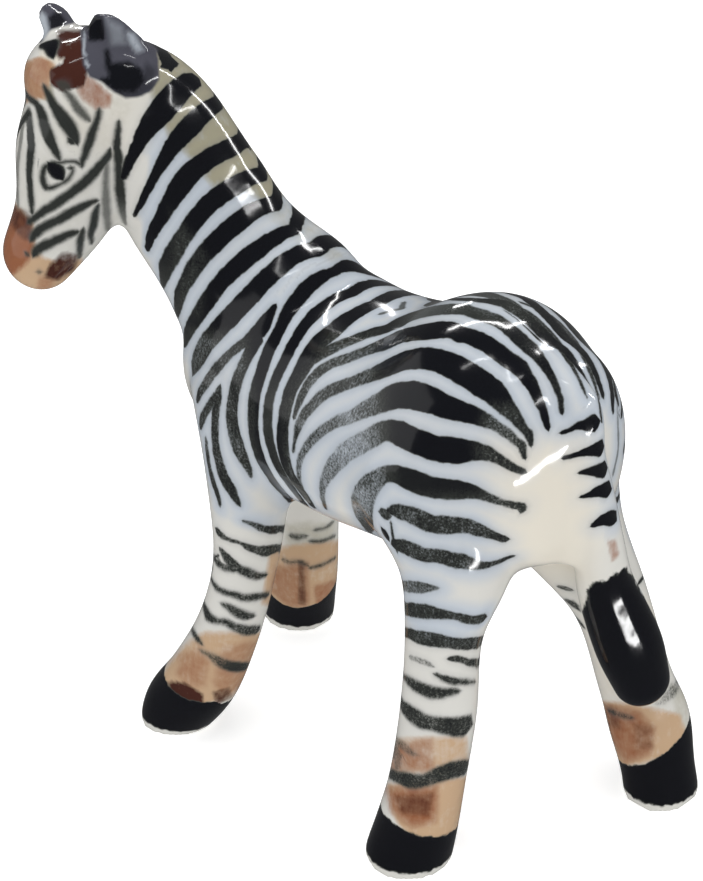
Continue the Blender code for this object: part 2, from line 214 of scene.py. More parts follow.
# Painted strokes, by the part that they lie on: x, y and full width in the picture's pixels along each
# stroke, then how fully the brush was loaded from its start to its end.
FULL = (1,)
STROKES = {
    "neck": {
        "stripe 1": (
            ((197, 79, 14), (187, 84, 20), (175, 95, 24), (160, 112, 24), (148, 128, 18), (138, 145, 12),
             (128, 165, 8), (123, 178, 5)), FULL),
        "stripe 2": (
            ((218, 103, 14), (205, 112, 17), (190, 127, 20), (176, 142, 17), (166, 157, 13), (157, 172, 9),
             (149, 187, 7), (140, 205, 5), (134, 216, 2)), FULL),
        "stripe 3": (
            ((246, 139, 15), (230, 148, 17), (212, 157, 18), (196, 168, 19), (183, 182, 20), (173, 197, 17),
             (160, 220, 12.5), (152, 234, 9.5), (147, 250, 4)), FULL),
        "stripe 4": (
            ((268, 173, 12), (252, 177, 15), (236, 185, 17), (222, 194, 18), (208, 205, 18), (195, 220, 17),
             (182, 239, 17), (171, 258, 17), (165, 270, 14), (162, 287, 3)), (1, 1, 1, .8, .6)),
        "stripe 5": (
            ((296, 204, 10), (283, 203, 13), (268, 205, 14), (252, 212, 16), (237, 223, 18), (222, 236, 18),
             (206, 252, 17), (194, 268, 16), (185, 284, 13), (179, 299, 11), (176, 318, 3)), (1, 1, 1, .7)),
        "stripe 6": (
            ((312, 230, 6), (300, 228, 9), (286, 232, 12), (270, 241, 15), (256, 251, 17), (241, 263, 17),
             (223, 280, 16), (208, 300, 15.5), (195, 320, 12.5), (187, 335, 9), (184, 343, 4)),
            (1, 1, 1, .7)),
        "nape patch": (((163, 52, 6), (170, 60, 14), (174, 62, 8)), (.8,)),
        "nape spot": (((146, 41, 9), (150, 43, 9)), (.7,)),
    },
    "trunk": {
        "stripe 7": (
            ((342, 252, 3), (332, 248, 9), (318, 249, 13), (303, 252, 15), (290, 259, 16), (276, 270, 17),
             (263, 282, 18), (250, 296, 18), (236, 311, 18), (222, 326, 18), (209, 341, 17), (200, 355, 15),
             (195, 366, 9), (193, 373, 3)), (1, 1, 1, .7)),
        "stripe 8": (
            ((275, 306, 4), (268, 317, 10), (260, 330, 14), (245, 342, 9), (230, 354, 8), (216, 369, 9),
             (206, 383, 8), (200, 393, 6), (197, 401, 3)), FULL),
        "stripe 8 branch": (
            ((256, 338, 14), (249, 353, 11), (242, 368, 10.5), (236, 384, 10.5), (233, 400, 10.5),
             (232, 415, 11), (234, 430, 11.5), (238, 445, 12), (243, 458, 10), (248, 468, 7), (251, 477, 3)),
            FULL),
        "chest right": (
            ((220, 386, 3), (218, 395, 7), (216, 410, 7), (215, 425, 7), (215.5, 445, 7), (219, 462, 8),
             (224, 477, 9), (231, 490, 9), (237, 501, 5), (240, 506, 2)), FULL),
        "chest left": (((217, 394, 6), (210, 405, 7), (204, 415, 7), (201, 424, 5), (200, 428, 2)), FULL),
        "chest low": (
            ((206, 438, 2), (207, 450, 3), (209, 465, 3), (212, 478, 4), (216, 490, 4), (219, 500, 3),
             (220, 506, 2)), (.8,)),
        "stripe 9": (
            ((366, 271, 2), (355, 269, 6), (342, 270, 8), (330, 273, 9), (318, 279, 12), (308, 287, 14),
             (300, 296, 14), (287, 314, 12), (282, 325, 10), (274, 340, 10.5), (267, 355, 10.5),
             (262, 370, 10.5), (257, 385, 10.5), (254, 400, 10.5), (253, 415, 10), (253.5, 430, 9.5),
             (256, 445, 9), (261, 460, 8), (268, 473, 6), (276, 484, 5), (285, 494, 4.5), (294, 503, 4),
             (303, 509, 3), (315, 515, 2)), FULL),
        "stripe 10": (
            ((387, 288, 2), (376, 287, 6), (362, 290, 7), (348, 294, 8), (336, 299, 9), (325, 306, 10),
             (314, 315, 11), (303, 328, 9.5), (293, 344, 9.5), (285, 360, 9), (277, 376, 9), (272, 390, 9),
             (268.5, 405, 9), (267.5, 420, 9), (268.5, 435, 9), (272, 450, 8), (276.5, 463, 7),
             (283, 475, 6), (292, 488, 5), (301, 500, 4), (310, 510, 3), (320, 516, 2)),
            (1, 1, 1, .8, .6, .8, 1)),
        "stripe 11": (
            ((399, 298, 3), (385, 301, 6), (370, 306, 9), (355, 314, 11), (343, 322, 13), (333, 331, 15),
             (320, 342, 15), (311, 354, 16), (304, 366, 15), (297, 378, 13), (291, 390, 12),
             (287, 403, 11.5), (284, 418, 11), (282.5, 433, 11), (283, 448, 10.5), (286, 463, 9),
             (291, 475, 7), (298, 486, 6), (306, 497, 4.5), (313, 507, 3)), FULL),
        "stripe 11 branch": (
            ((313, 360, 8), (325, 352, 10), (340, 345, 9), (355, 339, 8), (370, 333, 8), (385, 329, 8),
             (400, 322, 9), (415, 315, 9), (430, 311, 9), (445, 309, 10), (460, 309, 11), (470, 311, 11),
             (485, 316, 12), (498, 321, 12), (508, 328, 12), (518, 337, 13), (529, 347, 13), (538, 356, 11),
             (545, 366, 9), (551, 376, 7), (556, 387, 6), (560, 398, 5), (562, 413, 4)),
            (1, 1, .5, .6, 1, 1, 1)),
        "stripe 12": (
            ((294, 418, 3), (297, 408, 5), (302, 395, 7), (309, 383, 8), (319, 372, 9), (333, 363, 9),
             (348, 358, 9), (363, 352, 9), (378, 346, 10), (392, 340, 12), (405, 335, 12), (420, 332, 14),
             (435, 330, 16), (450, 330, 16), (460, 334, 15), (472, 337, 15), (485, 343, 16), (497, 351, 16),
             (508, 359, 16), (518, 366, 16), (526, 376, 14), (533, 387, 11), (538, 399, 9), (543, 411, 7),
             (546, 421, 6.5), (548, 429, 4)), FULL),
        "stripe 13": (
            ((293, 452, 2), (295, 440, 3), (298, 427, 7), (304, 415, 9), (313, 405, 10), (323, 395, 11),
             (336, 388, 11), (350, 383, 11), (365, 377, 12), (380, 371, 14), (395, 364, 16), (410, 359, 18),
             (425, 358, 21), (440, 361, 22), (455, 367, 24), (470, 376, 25), (485, 386, 25), (497, 396, 23),
             (507, 408, 17), (516, 418, 12), (523, 428, 9), (529, 436, 8), (531, 446, 3)), FULL),
        "stripe 14": (
            ((303, 490, 2), (299, 478, 4), (299, 465, 5), (302, 454, 6), (308, 445, 8), (316, 436, 9),
             (326, 428, 10), (338, 421, 11), (352, 416, 13), (366, 409, 16), (380, 402, 20), (395, 396, 24),
             (410, 395, 27), (425, 398, 26), (440, 404, 23), (455, 410, 20), (470, 414, 17), (485, 420, 14),
             (498, 427, 10), (509, 435, 9), (516, 441, 8), (522, 446, 8), (525, 458, 4)),
            (.75, .75, .8, .8, 1, 1, .8, 1)),
        "stripe 15": (
            ((326, 509, 2), (323, 500, 4), (322.5, 488, 6), (326, 477, 11), (334, 465, 16), (345, 453, 19),
             (358, 445, 20), (372, 437, 20), (385, 431, 20), (395, 432, 22), (408, 438, 24), (420, 443, 24),
             (434, 448, 24), (448, 450, 25), (462, 451, 23), (475, 451, 18), (488, 454, 14), (500, 460, 10),
             (510, 466, 8), (518, 470, 7), (524, 472, 6)), (.9, .8, .6, .9, 1, 1, 1, 1)),
        "stripe 16": (
            ((369, 532, 4), (364, 520, 14), (362, 508, 21), (364, 496, 24), (371, 485, 22), (382, 476, 17),
             (393, 474, 17), (405, 478, 19), (418, 483, 21), (430, 487, 20), (443, 489, 20), (456, 490, 19),
             (468, 491, 15), (480, 494, 11), (492, 499, 8), (504, 503, 6), (512, 505, 7), (522, 508, 8),
             (521, 512, 5)), (.75, .75, .8, .8, 1)),
        "groin spot": (((382, 513, 9), (388, 515, 9)), (.8,)),
        "belly mark": (((383, 530, 3), (387, 537, 4)), FULL),
        "belly line": (((330, 519, 2), (358, 530, 2), (385, 539, 2)), (.6,)),
        "thigh line": (((391, 522, 2), (393, 537, 2), (397, 552, 2)), (.8,)),
        "stripe 17": (
            ((388, 511, 5), (396, 511, 13), (408, 514, 15), (420, 519, 17), (432, 524, 17), (444, 525, 17),
             (456, 525, 16), (468, 526, 14), (480, 530, 12), (492, 535, 8), (500, 538, 7), (506, 539, 6)),
            FULL),
        "stripe 18": (
            ((394, 545, 10), (404, 547, 13), (416, 552, 14), (428, 555.5, 13), (440, 556, 13),
             (452, 560, 14), (464, 562, 14), (476, 565, 9), (488, 565, 5), (500, 561, 3.5), (507, 558, 3),
             (513, 556, 3)), FULL),
        "back line": (((380, 314, 2), (395, 310, 2), (412, 307, 2)), (.5,)),
    },
    "croup": {
        "croup 1": (
            ((450, 299, 2), (470, 299.5, 3), (490, 301, 5), (505, 304, 8), (518, 311, 10), (530, 318, 10.5),
             (541, 327, 10), (551, 337, 9), (560, 347, 7), (568, 359, 4.5), (576, 373, 3), (583, 388, 2),
             (587, 398, 1.5)), (.8,)),
        "croup 2": (
            ((520, 302, 1.5), (535, 308, 2), (548, 314.5, 3), (560, 324, 3.5), (570, 335, 4),
             (578, 346, 4.2), (585, 360, 4), (591, 374, 3.2), (596, 388, 2.5), (599, 401, 2),
             (602, 422, 1.5)), (.75,)),
        "croup 3": (
            ((585, 335, 1.5), (596, 347, 2), (603, 358, 2.5), (608, 370, 3), (611, 383, 3), (612.5, 397, 3),
             (613, 412, 2)), FULL),
        "croup edge": (((617, 400, 1.5), (618, 425, 1.5), (618, 450, 1.5), (613, 475, 1.5)), (.4,)),
    },
    "tail": {
        "wedge 1": (
            ((560, 433, 1.5), (570, 430, 3), (578, 426, 6), (586, 425, 11), (592, 423.5, 15),
             (595.5, 422.5, 17)), FULL),
        "wedge 2": (
            ((563, 458, 2), (572, 456, 3), (582, 453, 5), (590, 451, 9), (598, 449, 13), (601.5, 448, 15)),
            FULL),
        "wedge 3": (((579, 473, 2), (586, 472, 5), (593, 471, 9), (601, 470, 14), (604.5, 469, 16)), (.85,)),
        "wedge 4": (((581, 497, 2), (590, 495, 5), (597, 492, 9), (605, 490, 14), (608.5, 489.5, 16)), FULL),
        "wedge 5": (((592, 526, 3), (598, 523, 6), (604, 520, 10), (611, 518, 14), (614, 519, 16)), FULL),
    },
    "head": {
        "forehead spot": (((57, 33, 9), (52, 43, 14), (52, 52, 8), (53, 57, 3)), (1.5,)),
        "brow shade": (((60, 84, 7), (67, 88, 9)), (.7,)),
        "face 1": (
            ((44, 86, 3), (49, 96, 6), (55, 107, 9), (62, 117, 12), (69, 127, 13), (74, 136, 10),
             (77, 143, 5)), FULL),
        "face 2": (((64, 89, 3), (70, 97, 6), (77, 107, 8), (84, 115, 7), (90, 121, 3)), (.8,)),
        "face 3": (
            ((36, 103, 4), (41, 112, 8), (44, 124, 9), (48, 135, 10), (53, 146, 8), (58, 156, 5),
             (60, 161, 2)), FULL),
        "face 4": (
            ((29, 104, 2), (29, 115, 4), (30, 130, 6), (31, 145, 6.5), (30, 160, 6), (29, 172, 5.5),
             (30, 185, 5), (31, 200, 5), (32, 213, 3)), FULL),
        "face 5": (
            ((24, 115, 2), (22, 130, 3), (20, 145, 3), (18, 160, 3), (17, 175, 3), (17, 190, 3),
             (18, 205, 2)), (.6,)),
        "cheek 1": (
            ((99, 110, 4), (97, 120, 5), (93, 131, 7), (89, 143, 8), (85, 155, 6), (82, 163, 4),
             (82, 167, 2)), FULL),
        "cheek 2": (
            ((119, 121, 2.5), (118, 133, 5), (117, 146, 6), (118.5, 158, 8), (119, 172, 8), (120, 188, 9),
             (121.5, 202, 8), (123, 214, 6), (125, 224, 3)), (1, 1, 1, .6)),
        "cheek 3": (
            ((110, 149, 2), (108, 156, 6), (101, 165, 8), (93, 174, 9), (84, 183, 9), (74, 191, 8),
             (64, 198, 8), (54, 205, 8), (44, 211, 7), (36, 217, 6), (29, 222, 6)), FULL),
        "cheek 4": (
            ((106, 160, 5), (106, 175, 5.5), (105.5, 190, 6), (106, 203, 8), (107, 215, 7), (108, 226, 6),
             (109, 230, 3)), (.7,)),
        "cheek 5": (
            ((97, 201, 3), (90, 203, 5), (80, 208, 7), (70, 213, 8), (60, 219, 8), (50, 224, 8),
             (41, 229, 8), (34, 235, 8), (31, 240, 4)), FULL),
        "jaw 1": (((98, 205, 3), (95, 214, 6), (93, 226, 7), (91, 236, 5), (92, 243, 3)), FULL),
        "jaw 2": (
            ((78, 232, 3), (70, 234, 6), (61, 238, 7), (52, 242, 8), (44, 246, 9), (37, 250, 8),
             (34, 255, 5)), FULL),
        "jaw 3": (((83, 229, 3), (81.5, 236, 6), (80, 246, 6), (80, 257, 3)), FULL),
        "temple spot": (((70, 140, 7), (72, 142, 7)), FULL),
        "eye outline": (
            ((49, 164, 3), (44, 169, 4.5), (42.5, 177, 5), (44, 184, 5), (47, 188, 4), (54, 187, 2.5),
             (61, 184, 2.5), (67, 180, 3), (71, 175, 2), (73, 169, 1.5), (71, 166, 2)), FULL),
        "upper lid": (
            ((45, 166, 2.5), (52, 163, 2.2), (60, 162.5, 2), (68, 161.5, 2), (76, 162, 1.8), (81, 165, 2)),
            FULL),
        "iris": (((51, 166, 9), (56, 171, 13), (60, 176, 10)), (1.4,)),
        "eye spot": (((70, 168, 4), (72, 168, 4)), FULL),
        "nostril": (((26, 253, 2.5), (28, 255, 2.5)), FULL),
        "lip specks": (((38, 272, 2), (41, 272, 2)), (.8,)),
    },
    "left_fore": {
        "shoulder": (
            ((243, 521, 2), (252, 524, 4), (262, 528, 6), (272, 530, 8), (282, 529, 6), (290, 529, 3)), FULL),
        "band 1": (
            ((216, 529, 3), (221, 535, 5), (230, 540, 3), (240, 543, 3), (248, 547, 6), (257, 550, 8),
             (266, 551, 10), (275, 549, 8), (283, 547, 5)), FULL),
        "band 2": (
            ((220, 549, 3), (225, 556, 6), (231, 563, 9), (240, 569, 8), (250, 574, 8), (258, 576, 6),
             (266, 575, 3)), FULL),
        "band 3": (((213, 557, 2), (219, 564, 5), (227, 568, 5), (235, 570, 4)), FULL),
        "band 4": (
            ((212, 581, 2), (217, 588, 4), (225, 592, 4), (235, 595, 5), (245, 598, 6), (256, 597, 6),
             (268, 595, 4)), FULL),
        "band 5": (((222, 604, 3), (230, 608, 6), (238, 613, 9), (246, 616, 7), (254, 616, 3)), FULL),
        "band 6": (
            ((205, 609, 4), (209, 617, 7), (218, 621, 5), (226, 622, 5), (235, 627, 7), (246, 630, 9),
             (258, 630, 8)), FULL),
        "shin mark": (((192, 630, 3), (197, 638, 3.5), (202, 644, 2)), FULL),
        "band 7": (
            ((200, 650, 1.5), (209, 655, 4), (217, 660, 8), (227, 665, 9), (237, 667, 9), (247, 667, 7)),
            (.75,)),
    },
    "right_fore": {
        "band 1": (((291, 536, 4), (298, 537, 5), (306, 536, 3)), FULL),
        "band 2": (((310, 541, 2.5), (322, 541, 2.5), (335, 536, 2.5)), FULL),
        "band 3": (((315, 530, 2), (325, 528, 2), (333, 522, 2)), FULL),
        "band 4": (((283, 560, 3), (290, 562, 3), (300, 562, 3), (308, 566, 3)), (.8,)),
        "band 5": (((310, 568, 2.5), (322, 565, 2.5), (335, 558, 2.5)), FULL),
    },
    "left_hind": {
        "band 1": (((402, 586, 10), (416, 587, 11), (426, 588, 9), (434, 588, 5), (438, 588, 2)), (.8,)),
        "band 2": (
            ((404, 609, 12), (420, 611, 14), (430, 612, 13), (442, 614, 9), (454, 616, 7), (466, 619, 8),
             (476, 620, 8), (484, 618, 8)), FULL),
        "band 3": (
            ((405, 632, 8), (418, 637, 12), (428, 639, 14), (440, 641, 13), (452, 643, 11), (464, 644, 11),
             (476, 643, 11), (482, 641, 8)), FULL),
        "band 4": (((410, 657, 4), (418, 660, 5), (428, 664, 4), (434, 667, 2)), (.6,)),
        "band 5": (((449, 659, 3), (458, 659, 6), (468, 662, 6), (478, 663, 8)), FULL),
        "band 6": (((434, 674, 2), (444, 678, 5), (454, 681, 6), (464, 682, 4), (475, 682, 2)), FULL),
        "band 7": (
            ((404, 677, 3), (411, 683, 8), (420, 688, 10), (430, 692, 11), (440, 693, 9), (450, 692, 6),
             (459, 691, 3)), FULL),
        "band 8": (
            ((403, 707, 9), (412, 715, 13), (422, 721, 14), (434, 724, 13), (446, 726, 15), (458, 727, 18),
             (468, 726, 19)), FULL),
        "ankle mark": (((394, 740, 6), (403, 746, 7), (411, 752, 5), (418, 755, 2)), (.55,)),
        "band 9": (
            ((390, 774, 8), (400, 778, 11), (410, 781, 14), (420, 781, 12), (430, 779, 12), (440, 775, 14),
             (450, 771, 15), (460, 769, 15), (467, 768, 12)), FULL),
    },
    "right_hind": {
        "thigh mark 1": (((558, 587, 2), (564, 588, 4), (572, 590, 2)), FULL),
        "thigh mark 2": (((568, 602, 4), (574, 605, 5), (578, 609, 3)), FULL),
        "thigh mark 3": (((578, 620, 2), (583, 626, 2)), FULL),
        "shin mark 1": (((657, 703, 3), (664, 699, 6), (671, 692, 9), (677, 686, 7)), (.6,)),
        "shin mark 2": (((665, 672, 2), (672, 662, 2)), (.5,)),
        "ankle mark": (((609, 711, 3), (620, 715, 4), (632, 718, 3)), (.8,)),
        "hock mark 1": (((635, 588, 2.5), (643, 578, 2.5)), (.8,)),
        "hock mark 2": (((641, 605, 3), (648, 592, 3)), FULL),
    },
}

# Washes of colour by kind, among them painted highlights on the ears and painted shade over the face.
# Each is how strong it is, how soft its edge is in the picture's pixels, and its outline there.
WASHES = {
    "tan": (
        (0.85, 5, (
            (205, 632), (262, 632), (258, 655), (248, 680), (230, 698), (200, 706), (172, 694), (160, 680),
            (170, 660), (190, 640))),
        (0.8, 4, ((270, 548), (340, 540), (340, 600), (300, 614), (262, 604))),
        (0.65, 5, ((396, 738), (466, 736), (470, 765), (440, 775), (388, 775))),
        (0.85, 4, ((386, 784), (468, 776), (466, 842), (412, 842), (392, 815))),
        (0.85, 4, ((598, 700), (655, 708), (680, 715), (688, 738), (660, 760), (620, 768), (606, 740))),
        (0.85, 3, ((24, 62), (40, 56), (56, 64), (52, 76), (46, 98), (20, 104))),
        (0.9, 4, (
            (12, 200), (32, 222), (36, 248), (44, 258), (60, 262), (80, 256), (95, 300), (-20, 300),
            (-20, 200))),
    ),
    "orange": (
        (0.42, 8, ((178, 655), (200, 645), (210, 662), (206, 686), (188, 690), (176, 674))),
        (0.38, 8, ((222, 645), (258, 640), (254, 668), (240, 692), (218, 696), (212, 680))),
        (0.45, 6, ((274, 566), (308, 562), (310, 608), (290, 608), (270, 592))),
        (0.5, 4, ((314, 586), (338, 578), (334, 604), (316, 608))),
        (0.5, 8, ((390, 744), (432, 738), (434, 772), (388, 772))),
        (0.7, 8, ((385, 788), (438, 786), (436, 822), (412, 828), (390, 812))),
        (0.6, 7, ((600, 702), (640, 712), (656, 728), (652, 754), (625, 764), (606, 738))),
        (0.95, 5, ((12, 205), (30, 222), (34, 245), (28, 262), (12, 275), (-10, 270), (-10, 210))),
        (0.5, 7, ((40, 278), (60, 275), (50, 292), (35, 292))),
        (0.4, 3, ((24, 62), (40, 56), (54, 64), (50, 76), (46, 98), (20, 104))),
        (0.6, 4, ((82, 72), (92, 78), (112, 96), (110, 108), (96, 110), (82, 100), (76, 90))),
        (0.5, 3, ((606, 540), (616, 540), (620, 556), (612, 562))),
    ),
    "red": (
        (0.85, 2.5, ((168, 681), (185, 683), (203, 694), (203, 706), (185, 701), (172, 696))),
        (0.6, 3, ((212, 692), (230, 687), (232, 697), (216, 706))),
        (0.45, 6, ((392, 796), (434, 792), (430, 816), (400, 814))),
        (0.3, 6, ((632, 722), (655, 725), (655, 750), (635, 752))),
        (0.35, 6, ((600, 700), (618, 708), (622, 730), (608, 728))),
        (0.6, 5, ((12, 203), (30, 214), (33, 240), (22, 240), (10, 225))),
        (0.8, 3.5, ((50, 264), (62, 252), (80, 254), (74, 270), (58, 281), (44, 277))),
        (0.95, 4, ((58, 31), (82, 30), (85, 44), (70, 56), (60, 60), (56, 54))),
        (1.0, 2, ((66, 52), (86, 40), (89, 66), (84, 86), (62, 92), (50, 84), (50, 70), (62, 63))),
        (0.5, 3, ((298, 560), (304, 560), (306, 606), (298, 604))),
    ),
    "khaki_and_face_shade": (
        (0.85, 7, (
            (148, 36), (180, 52), (210, 76), (244, 112), (270, 150), (294, 190), (268, 203), (240, 186),
            (212, 186), (192, 158), (172, 140), (160, 116), (152, 96), (148, 70))),
        (0.3, 10, ((275, 195), (310, 215), (350, 258), (330, 265), (290, 240), (265, 215))),
        (0.8, 3, ((41, 80), (52, 84), (55, 101), (43, 99))),
        (0.35, 8, ((284, 522), (336, 520), (336, 566), (284, 566))),
        (0.25, 8, ((110, 95), (135, 100), (125, 125), (105, 120))),
        # Painted shade: a faint khaki wash that darkens the whole face.
        (0.16, 12, ((5, 105), (125, 105), (125, 260), (0, 260))),
        (0.3, 6, ((668, 680), (690, 690), (692, 745), (680, 745))),
    ),
    "cream": (
        (0.8, 25, ((490, 440), (590, 440), (600, 520), (590, 580), (540, 580), (500, 540))),
        (0.9, 3, ((40, 50), (58, 48), (66, 58), (52, 66), (40, 62))),
        (0.5, 8, ((310, 560), (336, 560), (330, 592), (312, 592))),
        (0.5, 14, ((580, 600), (660, 600), (665, 700), (600, 700))),
        (0.35, 20, ((60, 90), (150, 95), (130, 160), (60, 140))),
    ),
    "ear black": (
        (1.0, 1.5, ((87, 24), (95, 15), (103, 18), (105, 40), (89, 42))),
        (0.55, 4, ((146, 62), (156, 70), (153, 88), (140, 97), (120, 99), (104, 88), (118, 90), (138, 88))),
        (1.0, 2.5, (
            (104, 49), (109, 49), (112, 63), (128, 61), (141, 68), (146, 80), (136, 93), (118, 93),
            (103, 85), (99, 78), (109, 77), (105, 66))),
        (0.9, 2, ((48, 18), (58, 10), (66, 20), (62, 28), (50, 30))),
    ),
    # Painted highlights on the ears' glaze, and the bare rim along the left ear's edge.
    "ear highlight and rim": (
        (0.7, 4, ((126, 32), (134, 34), (143, 50), (137, 52), (129, 42))),
        (0.75, 3, ((36, 20), (42, 12), (46, 16), (49, 30), (46, 40), (36, 38))),
        (0.6, 0.7, ((83, 30), (84.6, 30), (85, 52), (89, 66), (87.5, 68), (82.8, 54))),
        (0.35, 5, ((106, 18), (122, 26), (126, 44), (112, 44))),
    ),
    "thin paint": (
        (0.45, 18, ((280, 400), (330, 330), (380, 330), (385, 420), (390, 520), (340, 530), (285, 480))),
        (0.4, 14, ((190, 330), (250, 330), (262, 500), (225, 520), (190, 420))),
        (0.32, 10, ((200, 500), (340, 515), (340, 600), (262, 640), (190, 690), (150, 690))),
        (0.3, 10, ((395, 570), (490, 590), (490, 800), (380, 800))),
        (0.4, 10, ((540, 575), (580, 575), (700, 700), (700, 760), (600, 740))),
        (0.35, 14, ((485, 400), (535, 400), (540, 530), (495, 530), (470, 450))),
        (0.3, 12, ((165, 200), (215, 260), (200, 320), (180, 310))),
        (0.25, 12, ((470, 300), (600, 300), (630, 420), (560, 420))),
        (0.4, 12, ((385, 497), (530, 497), (530, 580), (395, 580))),
    ),
}

# Where the dark glaze of each hoof ends, as a line across its front in the picture.
HOOF_LINES = {
    "left_fore": ((165, 668), (170, 690), (185, 697), (200, 702), (215, 702), (228, 697)),
    "right_fore": ((271, 594), (280, 600), (290, 608), (300, 611), (310, 608), (320, 598), (332, 590)),
    "left_hind": ((380, 812), (390, 815), (400, 824), (408, 833), (415, 838), (425, 839), (440, 837),
                  (458, 836)),
    "right_hind": ((624, 765), (645, 764), (660, 755), (672, 748), (683, 738), (686, 725)),
}
TUFT_OUTLINE = (
    (592, 583), (586, 600), (582, 615), (584, 635), (590, 655), (600, 680), (612, 697), (628, 712),
    (646, 716), (660, 712), (672, 700), (676, 680), (670, 650), (660, 625), (650, 605), (641, 590),
    (634, 578), (627, 569), (618, 573), (607, 580),
)
EAR_LEFT_OUTLINE = (
    (80, 30), (82, 14), (92, 6), (108, 6), (130, 20), (158, 50), (160, 80), (152, 92), (140, 97), (126, 99),
    (113, 93), (101, 83), (89, 77), (83, 66),
)
EAR_RIGHT_OUTLINE = (
    (34, 40), (34, 10), (45, 0), (62, 0), (78, 16), (79, 23), (66, 26), (52, 30), (46, 37), (41, 44),
)
LIMB_LOADS = {"head": 0.62, "left_fore": 0.85, "right_fore": 0.7, "left_hind": 0.85, "right_hind": 0.85}
SEEN_ONLY = ("croup", "tail")   # parts whose strokes aren't carried round to the hidden side
GROUPS = 4                # neighbouring strokes go into different attributes
FAR = 6.0                 # millimetres: where no paint is near
REACH = 2.4               # millimetres round a stroke that its distances are kept for
STROKE_STEP = 0.25        # millimetres between a stroke's places on the skin
STEPS_BETWEEN = 9
JUMP = 3.0                # millimetres: a longer step means that the stroke left its limb
SEAM = 1.3                # millimetres: a stroke that ends this near the seam runs round it
END_TAPER = 1.1           # how fast a stroke's half width falls away past its end
LEAST_FACING = 0.25       # a stroke is widened as if the skin were never turned away by more than this
FACING_AWAY = -0.1        # a carried-over stroke is kept where the skin faces the camera less than this
SAME_SIDE = 0.15          # skin whose normal agrees with a stroke's by less lies on another side
OTHER_SIDE = 30.0         # square millimetres: how much farther off such skin is taken to be
NEARER_TRIES = 4          # steps along a line of sight to its nearest place on the skin
THINNED = 3               # every so many places stand for a stroke when the groups are chosen
SHORTEST = 3              # places: a shorter run isn't painted
SHORTEST_COPY = 7         # places: the same for one that was carried over
TINY = 1e-12              # metres: gives a step of no length a direction
BODY = ("trunk", "neck", "head")   # limbs whose seam is their own middle and not the camera's

# The dark glaze of the hooves, in metres: how far from its foot's middle and how high a hoof can reach, and
# how near that middle a place cast from its drawn line has to be.
HOOF_REACH = 0.008
HOOF_HEIGHT = 0.016
HOOF_LINE_REACH = 0.0095
EARS_FROM = 0.06          # metres: the ears lie above this
EAR_MARGIN = 1.2          # millimetres: how far past an ear's half width its glaze can reach
TUFT_MARGIN = 0.45        # millimetres: the same for the tuft
TUFT_FROM = 4             # the row of the tail that the tuft starts at

# Stripes tinge the white glaze cooler and darker over trunk and neck only, partly as painted shade.
# In millimetres: the height under which that fades, over how much height, how near the head it fades,
# and over how much there.
LEGS_FROM = 29.0
LEGS_FADE = 6.0
HEAD_REACH = 9.0
HEAD_FADE = 3.0

# Grain sizes of the glaze's noises, in metres.
BROAD = 0.009
WAVES = 0.0045
BLOTCH = 0.0026
BRUSH = 0.0009
PITS = 0.0007
HAIR = 0.00042
SPECKLE = 0.00023
HAIR_STRETCH = (1.0, 1.0, 7.0)
PAPER = 0.02              # the same for the floor

# Where each edge of the paint fades, in millimetres: first where it is gone, then where it is full.
INK_EDGE = (0.2, -0.16)
BLEED_EDGE = (0.75, -0.1)
HOOF_EDGE = (0.3, -0.25)
TUFT_EDGE = (0.35, -0.35)
EAR_EDGE = (0.15, -0.25)
COOL_AND_SHADE_EDGE = (2.2, 0.2)    # cool tinge, partly painted shade, by its distance from the nearest stroke
SOFT_EDGE = (4.0, 5.6)    # the softer brush of head and legs, by the same distance
# How far noise moves those edges to and fro, in millimetres.
INK_WOBBLE = 0.34
HOOF_WOBBLE = 0.8
TUFT_WOBBLE = 1.2
EAR_WOBBLE = 0.5
INK_SPREAD = 0.04         # millimetres: how much farther than drawn a stroke spreads
END_REACH = 0.35          # millimetres: how far a stroke's rounded end reaches past its last place

# Each lamp that shows as a highlight: the two ends of its line as directions from the look point, its width
# in metres and the radiance it has. They stand LAMP_REACH away.
LAMP_REACH = 0.6
LAMPS = {
    "crest": ((-0.74, -0.12, 0.66), (-0.50, -0.12, 0.86), 0.018, 32),
    "neck high": ((-0.75, 0.42, 0.52), (-0.92, 0.32, 0.20), 0.022, 30),
    "neck low": ((-0.60, 0.65, 0.46), (-0.05, 0.87, 0.48), 0.014, 26),
    "croup": ((-0.12, -0.68, 0.72), (-0.52, -0.08, 0.85), 0.018, 45),
    "croup low": ((0.42, -0.03, 0.90), (0.05, 0.14, 0.99), 0.012, 14),
    "poll": ((-0.56, -0.79, 0.25), (-0.64, -0.70, 0.30), 0.03, 18),
}
# The low lamp behind the tail: its two ends in metres, then its width and radiance.
TUFT_LAMP = ((0.055, 0.146, 0.011), (-0.023, 0.159, 0.022), 0.006, 36)
# The pale panel: its place, the way it lies, its two sides in metres and its radiance.
PANEL = ((0.42, -0.42, 0.22), (0.5, 0.5, 0.0), (0.75, 0.5), 0.6)
SUN_WAY = (0.08, 0.12, 0.99)
SUN_SPREAD = 100          # degrees
WORLD_STRENGTH = 0.11
FLOOR_REACH = 1.5         # metres from its middle to each side
WHITE = (1.0, 1.0, 1.0, 1.0)


def colour_setting(name, description, default):
    return FloatVectorProperty(
        name=name, description=description, default=default, subtype="COLOR", min=0, max=1)


